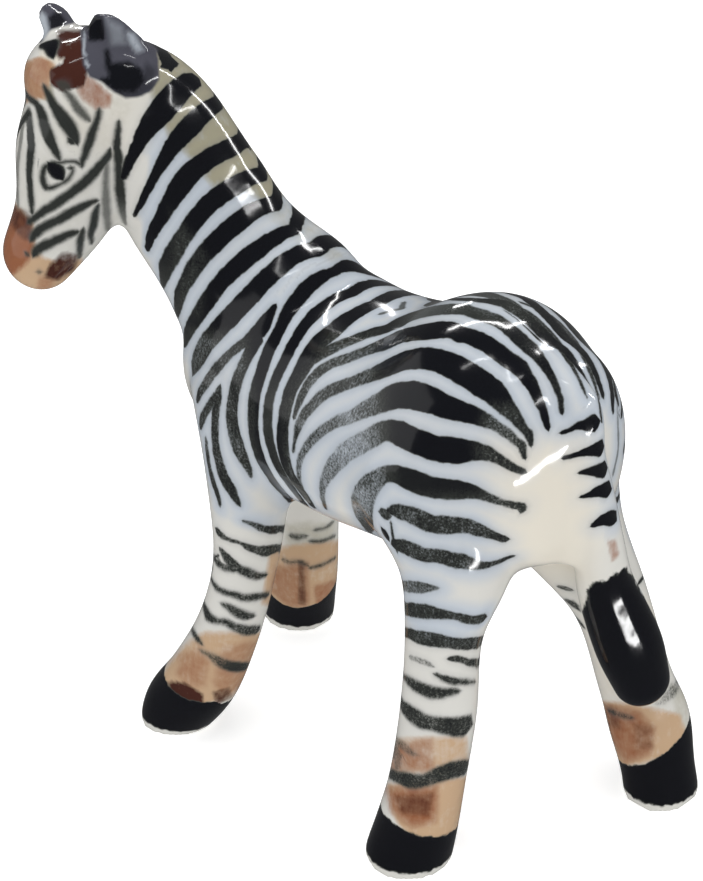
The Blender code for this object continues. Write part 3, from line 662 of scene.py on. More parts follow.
class FigurineSettings(bpy.types.PropertyGroup):
    """Sizes and colours that a user would change."""

    grain: FloatProperty(
        name="Surface grid", description="Spacing of the skin's mesh", default=0.00037,
        min=0.0002, unit="LENGTH")
    blend_steps: IntProperty(
        name="Join rounding", description="Smoothing steps where limbs run into each other", default=44,
        min=1)
    ear_steps: IntProperty(
        name="Ear rounding", description="Smoothing steps where the ears join", default=5, min=1)
    hoof_rim: FloatProperty(
        name="Hoof rim", description="Height of the bare rim under each hoof's glaze", default=0.0009,
        unit="LENGTH")
    glaze_white: colour_setting("White glaze", "The body glaze", (0.70, 0.69, 0.65))
    # The cool glaze darkens the white between the stripes, partly as painted shade; the ears' painted
    # highlight takes this colour too.
    cool_glaze_and_shade: colour_setting("Cool glaze", "The body glaze between the stripes", (0.53, 0.58, 0.64))
    halo: colour_setting("Bleed", "The tinge round each stroke", (0.16, 0.18, 0.21))
    ink: colour_setting("Ink", "The painted stripes", (0.004, 0.0045, 0.007))
    ink_thin: colour_setting("Thin ink", "Stripes where the brush ran dry", (0.055, 0.060, 0.052))
    # The ear grey is the ears' dark glaze, lightened as painted sheen.
    ear: colour_setting("Ear grey", "The ears' glaze", (0.075, 0.075, 0.095))
    tan: colour_setting("Tan", "Washes over the ankles and muzzle", (0.55, 0.38, 0.24))
    orange: colour_setting("Orange brown", "Washes on muzzle and ankles", (0.30, 0.115, 0.055))
    red: colour_setting("Red brown", "Darker washes on forelock and hooves", (0.060, 0.018, 0.012))
    # Khaki is also the colour of the painted shade laid over the face.
    khaki_and_face_shade: colour_setting("Khaki", "Washes along the mane", (0.37, 0.345, 0.25))
    cream: colour_setting("Cream", "Warm bare places", (0.80, 0.74, 0.62))
    floor_colour: colour_setting("Floor", "The studio floor", (0.86, 0.86, 0.86))
    floor_glow: FloatProperty(
        name="Floor glow", description="How strongly the floor shines by itself", default=0.52, min=0)
    fill: FloatProperty(
        name="Fill", description="Strength of the soft light from above", default=3.0, min=0)
    lamp_power: FloatProperty(
        name="Lamps", description="Share of its own strength that each lamp shines with", default=1.0, min=0)


def settings():
    return bpy.context.scene.zebra_figurine


def through(rows, between):
    """A smooth run of rows through the given ones: a cubic between each two, level with its neighbours."""
    rows = np.asarray(rows, float)
    ends = np.vstack([2 * rows[0] - rows[1], rows, 2 * rows[-1] - rows[-2]])
    t = np.linspace(0.0, 1.0, between, endpoint=False)[None, :, None]
    a, b, c, d = (ends[i:len(ends) - 3 + i][:, None, :] for i in range(4))
    run = b + 0.5 * t * ((c - a) + t * ((2 * a - 5 * b + 4 * c - d) + t * (3 * b - a - 3 * c + d)))
    return np.vstack([run.reshape(-1, rows.shape[1]), rows[-1:]])


def unit(vectors):
    return vectors / np.linalg.norm(vectors, axis=-1, keepdims=True)


def to_metres(points):
    return (points - FOOTPRINT_MIDDLE) * UNIT


def limb_frame(rows):
    """The limb's middle line and, along it, its direction, its width's direction and its depth's."""
    run = through(rows, RINGS_BETWEEN)
    middle = run[:, :3]
    lie = np.radians(run[:, 5])
    along = unit(np.gradient(middle, axis=0))
    side = np.stack([np.cos(lie), np.sin(lie), np.zeros_like(lie)], axis=1)
    side = unit(side - along * (side * along).sum(axis=1, keepdims=True))
    return run, middle, along, side, np.cross(along, side)


def limb_surface(rows, first_dome, last_dome):
    """An ellipse of half width and half depth carried along the middle line, with a quarter-circle dome
    of shrinking ellipses at each end. Returns the rings as one grid, and the two tips."""
    run, middle, along, side, out = limb_frame(rows)
    first = first_dome * min(run[0, 3:5])
    last = last_dome * min(run[-1, 3:5])
    lean = np.radians(np.linspace(0.0, 90.0, CAP_RINGS + 1)[1:-1])
    index = np.concatenate([np.zeros(len(lean), int), np.arange(len(run)), np.full(len(lean), len(run) - 1)])
    shift = np.concatenate([-first * np.sin(lean[::-1]), np.zeros(len(run)), last * np.sin(lean)])
    share = np.concatenate([np.cos(lean[::-1]), np.ones(len(run)), np.cos(lean)])
    centre = middle[index] + along[index] * shift[:, None]
    turn = np.linspace(0.0, 2.0 * np.pi, RING_SIDES, endpoint=False)
    wide = side[index] * (run[index, 3] * share)[:, None]
    deep = out[index] * (run[index, 4] * share)[:, None]
    grid = (
        centre[:, None, :]
        + np.cos(turn)[None, :, None] * wide[:, None, :]
        + np.sin(turn)[None, :, None] * deep[:, None, :]
    )
    tips = np.array([middle[0] - along[0] * first, middle[-1] + along[-1] * last])
    return grid, tips


def ear_surface(rows, opens):
    """A ring carried up the ear: its back bulges by a sine, and its front is a rim less a scoop that
    grows with the fourth power of a leaning sine. Returns the rings as one grid, and the two tips."""
    run = through(rows, RINGS_BETWEEN)
    middle = run[:, :3]
    along = unit(np.gradient(middle, axis=0))
    front = np.asarray(opens, float)
    front = unit(front - along * (along @ front)[:, None])
    side = np.cross(front, along)
    turn = np.linspace(0.0, 2.0 * np.pi, RING_SIDES, endpoint=False)
    lip = np.clip(np.sin(turn), 0.0, 1.0)
    back = np.clip(-np.sin(turn), 0.0, 1.0)
    scoop = np.clip(np.sin(turn + SCOOP_LEAN), 0.0, 1.0) ** 4
    offset = EAR_RIM * lip - run[:, 5, None] * scoop - run[:, 4, None] * back
    grid = (
        middle[:, None, :]
        + np.cos(turn)[None, :, None] * (side * run[:, 3, None])[:, None, :]
        + offset[:, :, None] * front[:, None, :]
    )
    tips = np.array([
        middle[0] - along[0] * EAR_TIP * run[0, 3] - front[0] * EAR_TIP_BACK,
        middle[-1] + along[-1] * EAR_TIP * run[-1, 3] - front[-1] * EAR_TIP_BACK,
    ])
    return grid, tips


def closed_skin(grid, tips):
    """Points and faces of the grid's rings, closed round and fanned to a tip at each end, facing out."""
    rings, sides = grid.shape[:2]
    points = to_metres(np.vstack([grid.reshape(-1, 3), tips]))
    i, j = np.meshgrid(np.arange(rings - 1), np.arange(sides), indexing="ij")
    here = (i * sides + j).ravel()
    beside = (i * sides + (j + 1) % sides).ravel()
    quads = np.stack([here, beside, beside + sides, here + sides], axis=1)
    low = np.arange(sides)
    high = (rings - 1) * sides + low
    fans = np.concatenate([
        np.stack([np.roll(low, -1), low, np.full(sides, rings * sides)], axis=1),
        np.stack([high, np.roll(high, -1), np.full(sides, rings * sides + 1)], axis=1),
    ])
    a, b, c, d = (points[quads[:, k]] for k in range(4))
    volume = (a * np.cross(b, c)).sum() + (a * np.cross(c, d)).sum()
    step = 1 if volume > 0 else -1
    return points, quads[:, ::step].tolist() + fans[:, ::step].tolist()


def placed(name, data):
    """A new object in the scene."""
    made = bpy.data.objects.new(name, data)
    bpy.context.scene.collection.objects.link(made)
    return made


def mesh_object(name, skins):
    """One mesh object that holds several closed skins."""
    points = []
    faces = []
    for skin, rings in skins:
        faces.extend([[len(points) + k for k in ring] for ring in rings])
        points.extend(skin.tolist())
    mesh = bpy.data.meshes.new(name)
    mesh.from_pydata(points, [], faces)
    mesh.update()
    return placed(name, mesh)


def add_modifier(target, kind, **values):
    step = target.modifiers.new(kind.lower(), kind)
    for key, value in values.items():
        setattr(step, key, value)


def regrid(target, sizes, steps):
    """The target's skin is made anew on the fine grid and smoothed."""
    add_modifier(target, "REMESH", mode="VOXEL", voxel_size=sizes.grain, adaptivity=0.0)
    add_modifier(target, "SMOOTH", factor=0.5, iterations=steps)


def fused_body(sizes):
    """The limbs in a fine grid, smoothed where they join. The ears and tail are set on and softened."""
    body = mesh_object("clay", [closed_skin(*limb_surface(*limb)) for limb in LIMBS.values()])
    crisp = [ear_surface(*EAR_LEFT), ear_surface(*EAR_RIGHT), limb_surface(*TAIL)]
    crisp = [mesh_object("crisp", [closed_skin(*grid)]) for grid in crisp]
    regrid(body, sizes, sizes.blend_steps)
    for other in crisp:
        add_modifier(body, "BOOLEAN", operation="UNION", solver="EXACT", object=other)
    regrid(body, sizes, sizes.ear_steps)
    mesh = evaluated(body)
    for helper in [body] + crisp:
        bpy.data.objects.remove(helper, do_unlink=True)
    return mesh


def evaluated(target):
    graph = bpy.context.evaluated_depsgraph_get()
    return bpy.data.meshes.new_from_object(target.evaluated_get(graph))


def corners(mesh, name="co", of="vertices"):
    found = np.empty(len(getattr(mesh, of)) * 3, np.float32)
    getattr(mesh, of).foreach_get(name, found)
    return found.reshape(-1, 3).astype(float)


def put_corners(mesh, points):
    mesh.vertices.foreach_set("co", points.astype(np.float32).ravel())
    mesh.update()


def flat_soles(mesh, sizes):
    """Everything under the ground is pressed up to it, and the skin is made anew, so the soles are flat."""
    points = corners(mesh)
    points[:, 2] = np.maximum(points[:, 2], 0.0)
    put_corners(mesh, points)
    press = placed("pressed", mesh)
    regrid(press, sizes, SOLE_STEPS)
    flat = evaluated(press)
    bpy.data.objects.remove(press, do_unlink=True)
    put_corners(flat, np.clip(corners(flat), CAD_BOX[0], CAD_BOX[1]))
    return flat


class Skin:
    """The finished skin as the painter sees it: it finds the place under a pixel."""

    def __init__(self, mesh):
        self.points = corners(mesh)
        self.normals = corners(mesh, "normal")
        mesh.calc_loop_triangles()
        faces = np.empty(len(mesh.loop_triangles) * 3, np.int32)
        mesh.loop_triangles.foreach_get("vertices", faces)
        self.tree = BVHTree.FromPolygons(self.points.tolist(), faces.reshape(-1, 3).tolist())
        self.pixels = to_pixels(self.points)

    def under(self, x, y):
        """The place and normal where the camera sees this pixel, or the nearest to its line of sight."""
        sight = Vector(unit(
            -TO_CAMERA
            + CAMERA_RIGHT * (x - PICTURE[0] / 2) / FOCAL_PIXELS
            - CAMERA_UP * (y - PICTURE[1] / 2) / FOCAL_PIXELS
        ))
        start = Vector(CAMERA_PLACE)
        place, normal, _, _ = self.tree.ray_cast(start, sight)
        if place is None:
            distance = CAMERA_DISTANCE
            for _ in range(NEARER_TRIES):
                place, normal, _, _ = self.tree.find_nearest(start + sight * distance)
                distance = (place - start).dot(sight)
        return np.array(place), np.array(normal)

    def nearest(self, points):
        found = [self.tree.find_nearest(Vector(point))[:2] for point in points]
        return np.array([place for place, _ in found]), np.array([normal for _, normal in found])


def to_pixels(points):
    """Where the camera sees each point, in the picture's pixels."""
    seen = points - CAMERA_PLACE
    depth = seen @ -TO_CAMERA
    return np.stack([
        PICTURE[0] / 2 + FOCAL_PIXELS * (seen @ CAMERA_RIGHT) / depth,
        PICTURE[1] / 2 - FOCAL_PIXELS * (seen @ CAMERA_UP) / depth,
    ], axis=1)


def seam_distance(limb, points):
    """How far each point lies from the limb's seam, the surface that parts its seen half from its
    hidden half, and the direction across that seam there."""
    _, middle, _, side, _ = limb_frame(LIMBS[limb][0])
    middle = to_metres(middle)
    nearest = ((points[:, None, :] - middle[None, :, :]) ** 2).sum(axis=2).argmin(axis=1)
    if limb == "trunk":
        across = np.broadcast_to(np.array([1.0, 0.0, 0.0]), points.shape)
        centre = np.broadcast_to(to_metres(np.zeros(3)), points.shape)
    elif limb in BODY:
        across = side[nearest]
        centre = middle[nearest]
    else:
        across = np.broadcast_to(CAMERA_LEVEL, points.shape)
        centre = middle[nearest]
    return ((points - centre) * across).sum(axis=1), across


def smooth_run(values, times):
    """Each row moved towards the mean of its neighbours, with both ends held."""
    for _ in range(times):
        values[1:-1] = 0.5 * values[1:-1] + 0.25 * (values[:-2] + values[2:])
    return values


def stroke_on_skin(skin, points, loads):
    """The stroke's places, normals, half widths and loads on the skin, where the camera casts them.
    A half width is the pixels' real size, divided by how far the skin's cross direction is turned away."""
    run = through(points, STEPS_BETWEEN)
    cast = [skin.under(x, y) for x, y in run[:, :2]]
    place = np.array([p for p, _ in cast])
    normal = smooth_run(np.array([n for _, n in cast]), 4)
    step = np.linalg.norm(np.diff(place, axis=0), axis=1)
    breaks = np.flatnonzero(step > JUMP * MM) + 1
    parts = np.split(np.arange(len(run)), breaks)
    kept = max(parts, key=len)
    place, normal, run = place[kept], unit(normal[kept]), run[kept]
    load = np.interp(kept / (len(kept) + breaks.size), np.linspace(0, 1, len(loads)), loads)
    along = unit(np.gradient(place, axis=0) + TINY)
    cross = unit(np.cross(normal, along))
    sight = unit(CAMERA_PLACE - place)
    flat_along = along - (along * sight).sum(axis=1, keepdims=True) * sight
    flat_cross = unit(np.cross(sight, flat_along) + TINY)
    facing = np.abs((cross * flat_cross).sum(axis=1)).clip(LEAST_FACING, 1.0)
    depth = np.linalg.norm(CAMERA_PLACE - place, axis=1)
    half = 0.5 * run[:, 2] * depth / FOCAL_PIXELS / smooth_run(facing, 4)
    return np.column_stack([place, normal, half, load])


def evenly(rows, step):
    """The same run of rows at even steps along its length."""
    length = np.concatenate([[0], np.cumsum(np.linalg.norm(np.diff(rows[:, :3], axis=0), axis=1))])
    at = np.linspace(0, length[-1], max(3, int(length[-1] / step) + 1))
    return np.column_stack([np.interp(at, length, rows[:, k]) for k in range(rows.shape[1])])


def both_halves(skin, limb, rows):
    """The stroke's seen half, and its reflection across the limb's seam, as one run where they meet."""
    distance, across = seam_distance(limb, rows[:, :3])
    seen = distance > (0 if limb in BODY else -SEAM * MM)
    if seen.sum() < SHORTEST:
        return [rows]
    first, last = np.flatnonzero(seen)[[0, -1]]
    rows, distance, across = rows[first:last + 1], distance[first:last + 1], across[first:last + 1]
    other = rows.copy()
    other[:, :3] -= 2 * distance[:, None] * across
    turned = other[:, 3:6] - 2 * (other[:, 3:6] * across).sum(axis=1, keepdims=True) * across
    place, normal = skin.nearest(other[:, :3])
    agrees = (normal * turned).sum(axis=1) > 0
    other[:, :3] = place
    other[:, 3:6] = np.where(agrees[:, None], normal, turned)
    if np.linalg.norm(place - skin.nearest(rows[:, :3])[0], axis=1).max() < SEAM * MM:
        return [rows]
    if abs(distance[0]) < SEAM * MM:
        return [np.vstack([other[::-1], rows])]
    if abs(distance[-1]) < SEAM * MM:
        return [np.vstack([rows, other[::-1]])]
    return [rows, other]


def carried_over(skin, limb, rows):
    """A left leg's stroke, reflected onto the side of the right leg that the camera doesn't see."""
    legs = [LIMBS[leg][0] for leg in (limb, limb.replace("left", "right"))]
    lines = [to_metres(through(leg, RINGS_BETWEEN)[::-1, :3]) for leg in legs]
    here, there = [
        np.column_stack([np.interp(rows[:, 2], line[:, 2], line[:, k]) for k in range(3)])
        for line in lines
    ]
    moved = rows.copy()
    place, normal = skin.nearest(smooth_run(there + (rows[:, :3] - here) * (-1, 1, 1), 3))
    moved[:, :3], moved[:, 3:6] = smooth_run(place, 2), unit(smooth_run(normal, 4))
    facing = (moved[:, 3:6] * unit(CAMERA_PLACE - moved[:, :3])).sum(axis=1)
    return moved[max(np.split(np.arange(len(rows)), np.flatnonzero(facing > FACING_AWAY)), key=len)]


def all_strokes(skin):
    """Every stroke's runs on the skin, each with the half that the camera doesn't see."""
    runs = []
    for limb, strokes in STROKES.items():
        for points, loads in strokes.values():
            rows = stroke_on_skin(skin, points, tuple(load * LIMB_LOADS.get(limb, 1) for load in loads))
            if limb in SEEN_ONLY:
                runs.append([evenly(rows, STROKE_STEP * MM)])
                continue
            halves = both_halves(skin, limb, rows)
            runs.append([evenly(half, STROKE_STEP * MM) for half in halves if len(half) >= SHORTEST])
            if limb.startswith("left"):
                copies = [carried_over(skin, limb, half) for half in halves]
                copies = [evenly(copy, STROKE_STEP * MM) for copy in copies if len(copy) >= SHORTEST_COPY]
                runs.extend([copy] for copy in copies)
    return runs


def place_in_groups(runs):
    """For each stroke, the group whose strokes so far are the farthest from it."""
    held = [np.empty((0, 3)) for _ in range(GROUPS)]
    chosen = []
    for halves in runs:
        points = np.vstack([half[:, :3] for half in halves])
        thin = points[::THINNED]
        gaps = [
            np.inf if not len(rest) else ((thin[:, None] - rest[None]) ** 2).sum(axis=2).min()
            for rest in held
        ]
        group = int(np.argmax(gaps))
        chosen.append(group)
        held[group] = np.vstack([held[group], thin])
    return chosen


def paint_distances(skin, run, field):
    """Writes into the field, for the skin near one run: the signed distance across it, its half width
    there, the plain distance to its edge, all in millimetres, and how fully it is loaded."""
    place, normal, half, load = run[:, :3] / MM, unit(run[:, 3:6]), run[:, 6] / MM, run[:, 7]
    reach = REACH + half.max()
    points = skin.points / MM
    inside = np.flatnonzero(
        ((points > place.min(axis=0) - reach) & (points < place.max(axis=0) + reach)).all(axis=1)
    )
    points = points[inside]
    normals = skin.normals[inside]
    square = (points ** 2).sum(axis=1)[:, None] + (place ** 2).sum(axis=1)[None, :] - 2 * points @ place.T
    square = square + np.where(normals @ normal.T < SAME_SIDE, OTHER_SIDE, 0.0)
    nearest = square.argmin(axis=1)
    kept = square[np.arange(len(points)), nearest] < reach ** 2
    inside, points, nearest = inside[kept], points[kept], nearest[kept]
    along = unit(np.gradient(place, axis=0) + TINY / MM)
    change = np.gradient(half, STROKE_STEP)
    away = points - place[nearest]
    run_on = (away * along[nearest]).sum(axis=1)
    across = np.cross(normal, along)[nearest]
    past_start = (nearest == 0) & (run_on < 0)
    past_end = (nearest == len(place) - 1) & (run_on > 0)
    past = np.where(past_start | past_end, np.abs(run_on), 0.0)
    plain = np.sqrt(np.maximum((away ** 2).sum(axis=1) - run_on ** 2, 0.0))
    width = half[nearest] + np.where(past > 0, -END_TAPER * past, run_on * change[nearest])
    signed = np.sign((away * across).sum(axis=1)) * plain
    edge = np.sqrt(plain ** 2 + past ** 2) - half[nearest]
    better = edge < field[inside, 2]
    rows = np.stack([signed, width, edge, load[nearest]], axis=1)
    field[inside[better]] = rows[better]


def add_field(mesh, name, values):
    field = mesh.attributes.new(name, "FLOAT_COLOR", "POINT")
    field.data.foreach_set("color", values.astype(np.float32).ravel())


def wash_field(skin, kinds):
    """One channel for each kind of wash: the strongest of its outlines, each with a soft edge."""
    field = np.zeros((len(skin.points), 4))
    for channel, kind in enumerate(kinds):
        for strength, soft, outline in WASHES[kind]:
            share = np.clip(0.5 - 0.5 * outline_distance(skin.pixels, outline) / soft, 0.0, 1.0)
            field[:, channel] = np.maximum(field[:, channel], strength * share ** 2 * (3 - 2 * share))
    return field


def outline_distance(pixels, outline):
    """Signed distance in pixels from each point to a closed outline, negative inside it."""
    corner = np.asarray(outline, float)
    nearest = np.full(len(pixels), np.inf)
    inside = np.zeros(len(pixels), bool)
    for a, b in zip(corner, np.roll(corner, -1, axis=0)):
        edge = b - a
        away = pixels - a
        share = np.clip(away @ edge / (edge @ edge), 0.0, 1.0)
        nearest = np.minimum(nearest, np.linalg.norm(away - share[:, None] * edge, axis=1))
        crosses = (a[1] > pixels[:, 1]) != (b[1] > pixels[:, 1])
        slope = np.where(crosses, (pixels[:, 1] - a[1]) / (b[1] - a[1] if b[1] != a[1] else 1.0), 0.0)
        inside ^= crosses & (pixels[:, 0] < a[0] + slope * edge[0])
    return np.where(inside, -nearest, nearest)


def distances(points, rows):
    """How far each point lies from each row's middle, in millimetres."""
    middle = to_metres(np.asarray(rows, float)[:, :3])
    return np.sqrt(((points[:, None, :] - middle[None, :, :]) ** 2).sum(axis=2)) / MM


def away_from_body(skin):
    """Nought over trunk and neck, where stripes tinge the white glaze, partly as painted shade, rising to one
    on head and legs.
    """
    from_head = distances(skin.points, HEAD[0]).min(axis=1)
    low = (LEGS_FROM - skin.points[:, 2] / MM) / LEGS_FADE
    return np.clip(np.maximum((HEAD_REACH - from_head) / HEAD_FADE, low), 0.0, 1.0)


def dark_glaze_field(skin, sizes):
    """Signed distances in millimetres to the dark glaze of the hooves, ears and tuft, one to a channel.
    The fourth channel is left as it is, for the distance to the stripes."""
    points = skin.points
    field = np.full((len(points), 4), FAR)
    for limb, line in HOOF_LINES.items():
        foot = to_metres(np.asarray(LIMBS[limb][0][-1][:3], float))
        cast = np.array([skin.under(x, y)[0] for x, y in line])
        cast = cast[np.linalg.norm(cast[:, :2] - foot[:2], axis=1) < HOOF_LINE_REACH]
        plane = np.column_stack([cast[:, :2] - foot[:2], np.ones(len(cast))])
        tilt = np.linalg.lstsq(plane, cast[:, 2], rcond=None)[0]
        top = (points[:, :2] - foot[:2]) @ tilt[:2] + tilt[2]
        near = np.linalg.norm(points[:, :2] - foot[:2], axis=1) < HOOF_REACH
        near &= points[:, 2] < HOOF_HEIGHT
        hoof = np.maximum(points[:, 2] - top, sizes.hoof_rim - points[:, 2]) / MM
        field[near, 0] = np.minimum(field[near, 0], hoof[near])
    high = points[:, 2] > EARS_FROM
    pixel = CAMERA_DISTANCE / FOCAL_PIXELS / MM
    for (rows, _), outline in ((EAR_LEFT, EAR_LEFT_OUTLINE), (EAR_RIGHT, EAR_RIGHT_OUTLINE)):
        run = through(rows, RINGS_BETWEEN)[RINGS_BETWEEN:]
        gap = (distances(points[high], run) - run[None, :, 3] - EAR_MARGIN).min(axis=1)
        drawn = outline_distance(skin.pixels[high], outline) * pixel
        field[high, 1] = np.minimum(field[high, 1], np.maximum(gap, drawn))
    tail = through(TAIL[0], RINGS_BETWEEN)[RINGS_BETWEEN * TUFT_FROM:]
    near_tail = (distances(points, tail) - tail[None, :, 3] - TUFT_MARGIN).min(axis=1)
    tuft = outline_distance(skin.pixels, TUFT_OUTLINE) * pixel
    field[:, 2] = np.minimum(FAR, np.maximum(tuft, near_tail))
    return field


class Value:
    """A number that varies over the surface. Python's operators add Math nodes to its graph."""

    def __init__(self, graph, socket):
        self.graph = graph
        self.socket = socket

    def math(self, operation, *values):
        return Value(self.graph, self.graph.node("ShaderNodeMath", {"operation": operation}, *values))

    def __add__(self, other):
        return self.math("ADD", self, other)

    def __sub__(self, other):
        return self.math("SUBTRACT", self, other)

    def __rsub__(self, other):
        return self.math("SUBTRACT", other, self)

    def __mul__(self, other):
        return self.math("MULTIPLY", self, other)

    __radd__ = __add__
    __rmul__ = __mul__

    def top(self, other):
        return self.math("MAXIMUM", self, other)

    def size(self):
        return self.math("ABSOLUTE", self)

    def held(self):
        return self.math("MINIMUM", self.math("MAXIMUM", self, 0.0), 1.0)

    def between(self, start, end):
        """0 at the start value and 1 at the end value, with a soft step from one to the other."""
        return Value(self.graph, self.graph.node(
            "ShaderNodeMapRange", {"interpolation_type": "SMOOTHSTEP"}, self, start, end, 0.0, 1.0))


class Graph:
    """A material's nodes. One method adds any node and sets or links its sockets."""

    def __init__(self, name):
        self.material = bpy.data.materials.new(name)
        self.material.use_nodes = True
        self.tree = self.material.node_tree
        self.tree.nodes.clear()

    def node(self, kind, options, *values, output=0, **named):
        made = self.tree.nodes.new(kind)
        for key, value in options.items():
            setattr(made, key, value)
        pairs = list(enumerate(values)) + [(key.replace("_", " "), value) for key, value in named.items()]
        for key, value in pairs:
            self.feed(made, key, value)
        return made.outputs[output]

    def feed(self, node, key, value):
        """Links one of the node's inputs to a value, or sets it. A colour may leave out its alpha."""
        source = value.socket if isinstance(value, Value) else value
        if isinstance(source, bpy.types.NodeSocket):
            self.tree.links.new(source, node.inputs[key])
        elif node.inputs[key].type == "RGBA":
            node.inputs[key].default_value = (*source, 1.0)[:4]
        else:
            node.inputs[key].default_value = source

    def places(self, size):
        """Object coordinates, in steps of this size in metres."""
        where = self.node("ShaderNodeTexCoord", {}, output="Object")
        return self.node("ShaderNodeVectorMath", {"operation": "SCALE"}, where, Scale=1.0 / size)

    def noise(self, size, detail=2.0, roughness=0.5, stretch=(1.0, 1.0, 1.0)):
        """Noise whose grains are this size in metres, longer by the stretch along each axis."""
        where = self.node(
            "ShaderNodeVectorMath", {"operation": "DIVIDE"}, self.places(size), stretch)
        return Value(self, self.node(
            "ShaderNodeTexNoise", {}, output="Fac", Vector=where, Scale=1.0, Detail=detail,
            Roughness=roughness))

    def field(self, name):
        """The four channels of a colour attribute."""
        found = self.tree.nodes.new("ShaderNodeAttribute")
        found.attribute_name = name
        parts = self.tree.nodes.new("ShaderNodeSeparateColor")
        self.tree.links.new(found.outputs["Color"], parts.inputs[0])
        return [Value(self, parts.outputs[k]) for k in range(3)] + [Value(self, found.outputs["Alpha"])]

    def mixed(self, share, first, second):
        """A colour part of the way from the first to the second."""
        made = self.tree.nodes.new("ShaderNodeMix")
        made.data_type = "RGBA"
        for key, value in ((0, share), (6, first), (7, second)):
            self.feed(made, key, value)
        return made.outputs[2]

    def finish(self, shader):
        out = self.tree.nodes.new("ShaderNodeOutputMaterial")
        self.tree.links.new(shader, out.inputs["Surface"])


def painted_glaze(look):
    """Clear glossy glaze over a white body, with stripes, washes and dark glaze painted under it."""
    graph = Graph("painted glaze")
    broad = graph.noise(BROAD)
    blotch = graph.noise(BLOTCH, 3.0, 0.55)
    brush = graph.noise(BRUSH, 3.0, 0.6)
    hair = graph.noise(HAIR, 3.0, 0.6, HAIR_STRETCH)
    speckle = graph.noise(SPECKLE, 2.0, 0.65)

    warm, ear_black, ear_highlight_and_rim, thin = graph.field("washes 2")
    tan, orange, red, khaki_and_face_shade = graph.field("washes 1")
    hooves, ears, tuft, near_ink = graph.field("dark glaze")

    # White glaze, cooler and darker where stripes are near, partly as painted shade, and warmer where it is
    # bare, under streaky washes.
    cool_and_shade = near_ink.between(*COOL_AND_SHADE_EDGE) * (0.55 + broad * 0.8)
    colour = graph.mixed(cool_and_shade.held(), look.glaze_white, look.cool_glaze_and_shade)
    colour = graph.mixed((warm * 0.85).held(), colour, look.cream)
    streaks = 0.8 + hair * 0.5
    uneven = (brush - 0.5) * 0.6 + (blotch - 0.5) * 0.8
    # The khaki wash also lays painted shade over the face.
    for value, paint in ((khaki_and_face_shade, look.khaki_and_face_shade), (tan, look.tan), (orange, look.orange), (red, look.red)):
        share = (value * streaks * 1.2 + uneven).held() * value.between(0.0, 0.35)
        colour = graph.mixed(share, colour, paint)

    # Stripes: solid inside a stroke's edge, mottled where the paint is thin, with a faint bleed outside it.
    # Their edges are softer on head and legs.
    soft = near_ink.between(*SOFT_EDGE)
    density = None
    halo = None
    for k in range(GROUPS):
        signed, half, edge, load = graph.field(f"strokes {k + 1}")
        gap = (signed.size() - half).top(edge - END_REACH) + (brush - 0.5) * INK_WOBBLE
        gap = gap - INK_SPREAD - soft * INK_SPREAD
        full = (gap * (1.0 - soft * 0.55)).between(*INK_EDGE)
        laid = load * (1.0 - thin)
        mottle = (speckle - 0.5) * 1.9 + (hair - 0.5) * 0.8 + (blotch - 0.5) * 1.2
        amount = full * (laid + mottle * (thin + 0.05) * 0.8).held()
        glow = gap.between(*BLEED_EDGE) * load
        density = amount if density is None else density.top(amount)
        halo = glow if halo is None else halo.top(glow)

    # Hooves and tuft in the same ink, then the ears' glaze with painted sheen, highlights and bare rim.
    dark = (hooves + (brush - 0.5) * HOOF_WOBBLE).between(*HOOF_EDGE)
    dark = dark.top((tuft + (brush - 0.5) * TUFT_WOBBLE).between(*TUFT_EDGE))
    density = density.top(dark)

    colour = graph.mixed(halo * 0.22, colour, look.halo)
    ink_colour = graph.mixed(density.between(0.3, 0.92), look.ink_thin, look.ink)
    colour = graph.mixed(density.between(0.0, 0.62), colour, ink_colour)

    # The ear highlight and rim wash lightens the ears towards the cool grey: painted highlights, and the bare
    # rim.
    ear_colour_and_highlight = graph.mixed(ear_highlight_and_rim, graph.mixed(ear_black, look.ear, look.ink), look.cool_glaze_and_shade)
    on_ear = (ears + (blotch - 0.5) * EAR_WOBBLE).between(*EAR_EDGE)
    colour = graph.mixed(on_ear, colour, ear_colour_and_highlight)

    waves = graph.noise(WAVES)
    pits = graph.noise(PITS)
    bump = graph.node(
        "ShaderNodeBump", {}, Strength=0.3, Distance=0.00010, Height=waves + pits * 0.05)
    rough = 0.07 + speckle * 0.04 + density * 0.03
    shader = graph.node(
        "ShaderNodeBsdfPrincipled", {}, Base_Color=colour, Roughness=rough, Normal=bump, IOR=1.5,
        Specular_IOR_Level=0.5)
    graph.finish(shader)
    return graph.material


class FIGURINE_OT_glazed_body(bpy.types.Operator):
    """Builds the zebra's skin, lays its painted strokes on it and gives it its glaze"""

    bl_idname = "figurine.glazed_body"
    bl_label = "Glazed body"

    def execute(self, context):
        sizes = settings()
        mesh = flat_soles(fused_body(sizes), sizes)
        mesh.name = "zebra"
        mesh.polygons.foreach_set("use_smooth", np.ones(len(mesh.polygons), bool))
        skin = Skin(mesh)
        runs = all_strokes(skin)
        fields = np.tile(np.array([FAR, 0.0, FAR, 0.0]), (GROUPS, len(skin.points), 1))
        for halves, group in zip(runs, place_in_groups(runs)):
            for half in halves:
                paint_distances(skin, half, fields[group])
        for k in range(GROUPS):
            add_field(mesh, f"strokes {k + 1}", fields[k])
        add_field(mesh, "washes 1", wash_field(skin, ("tan", "orange", "red", "khaki_and_face_shade")))
        add_field(mesh, "washes 2", wash_field(skin, ("cream", "ear black", "ear highlight and rim", "thin paint")))
        dark = dark_glaze_field(skin, sizes)
        dark[:, 3] = np.minimum(FAR, fields[:, :, 2].min(axis=0) + FAR * away_from_body(skin))
        add_field(mesh, "dark glaze", dark)
        zebra = placed("painted_zebra", mesh)
        mesh.materials.clear()
        mesh.materials.append(painted_glaze(sizes))
        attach(zebra, "root")
        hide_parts("zebra_figurine")
        return {"FINISHED"}


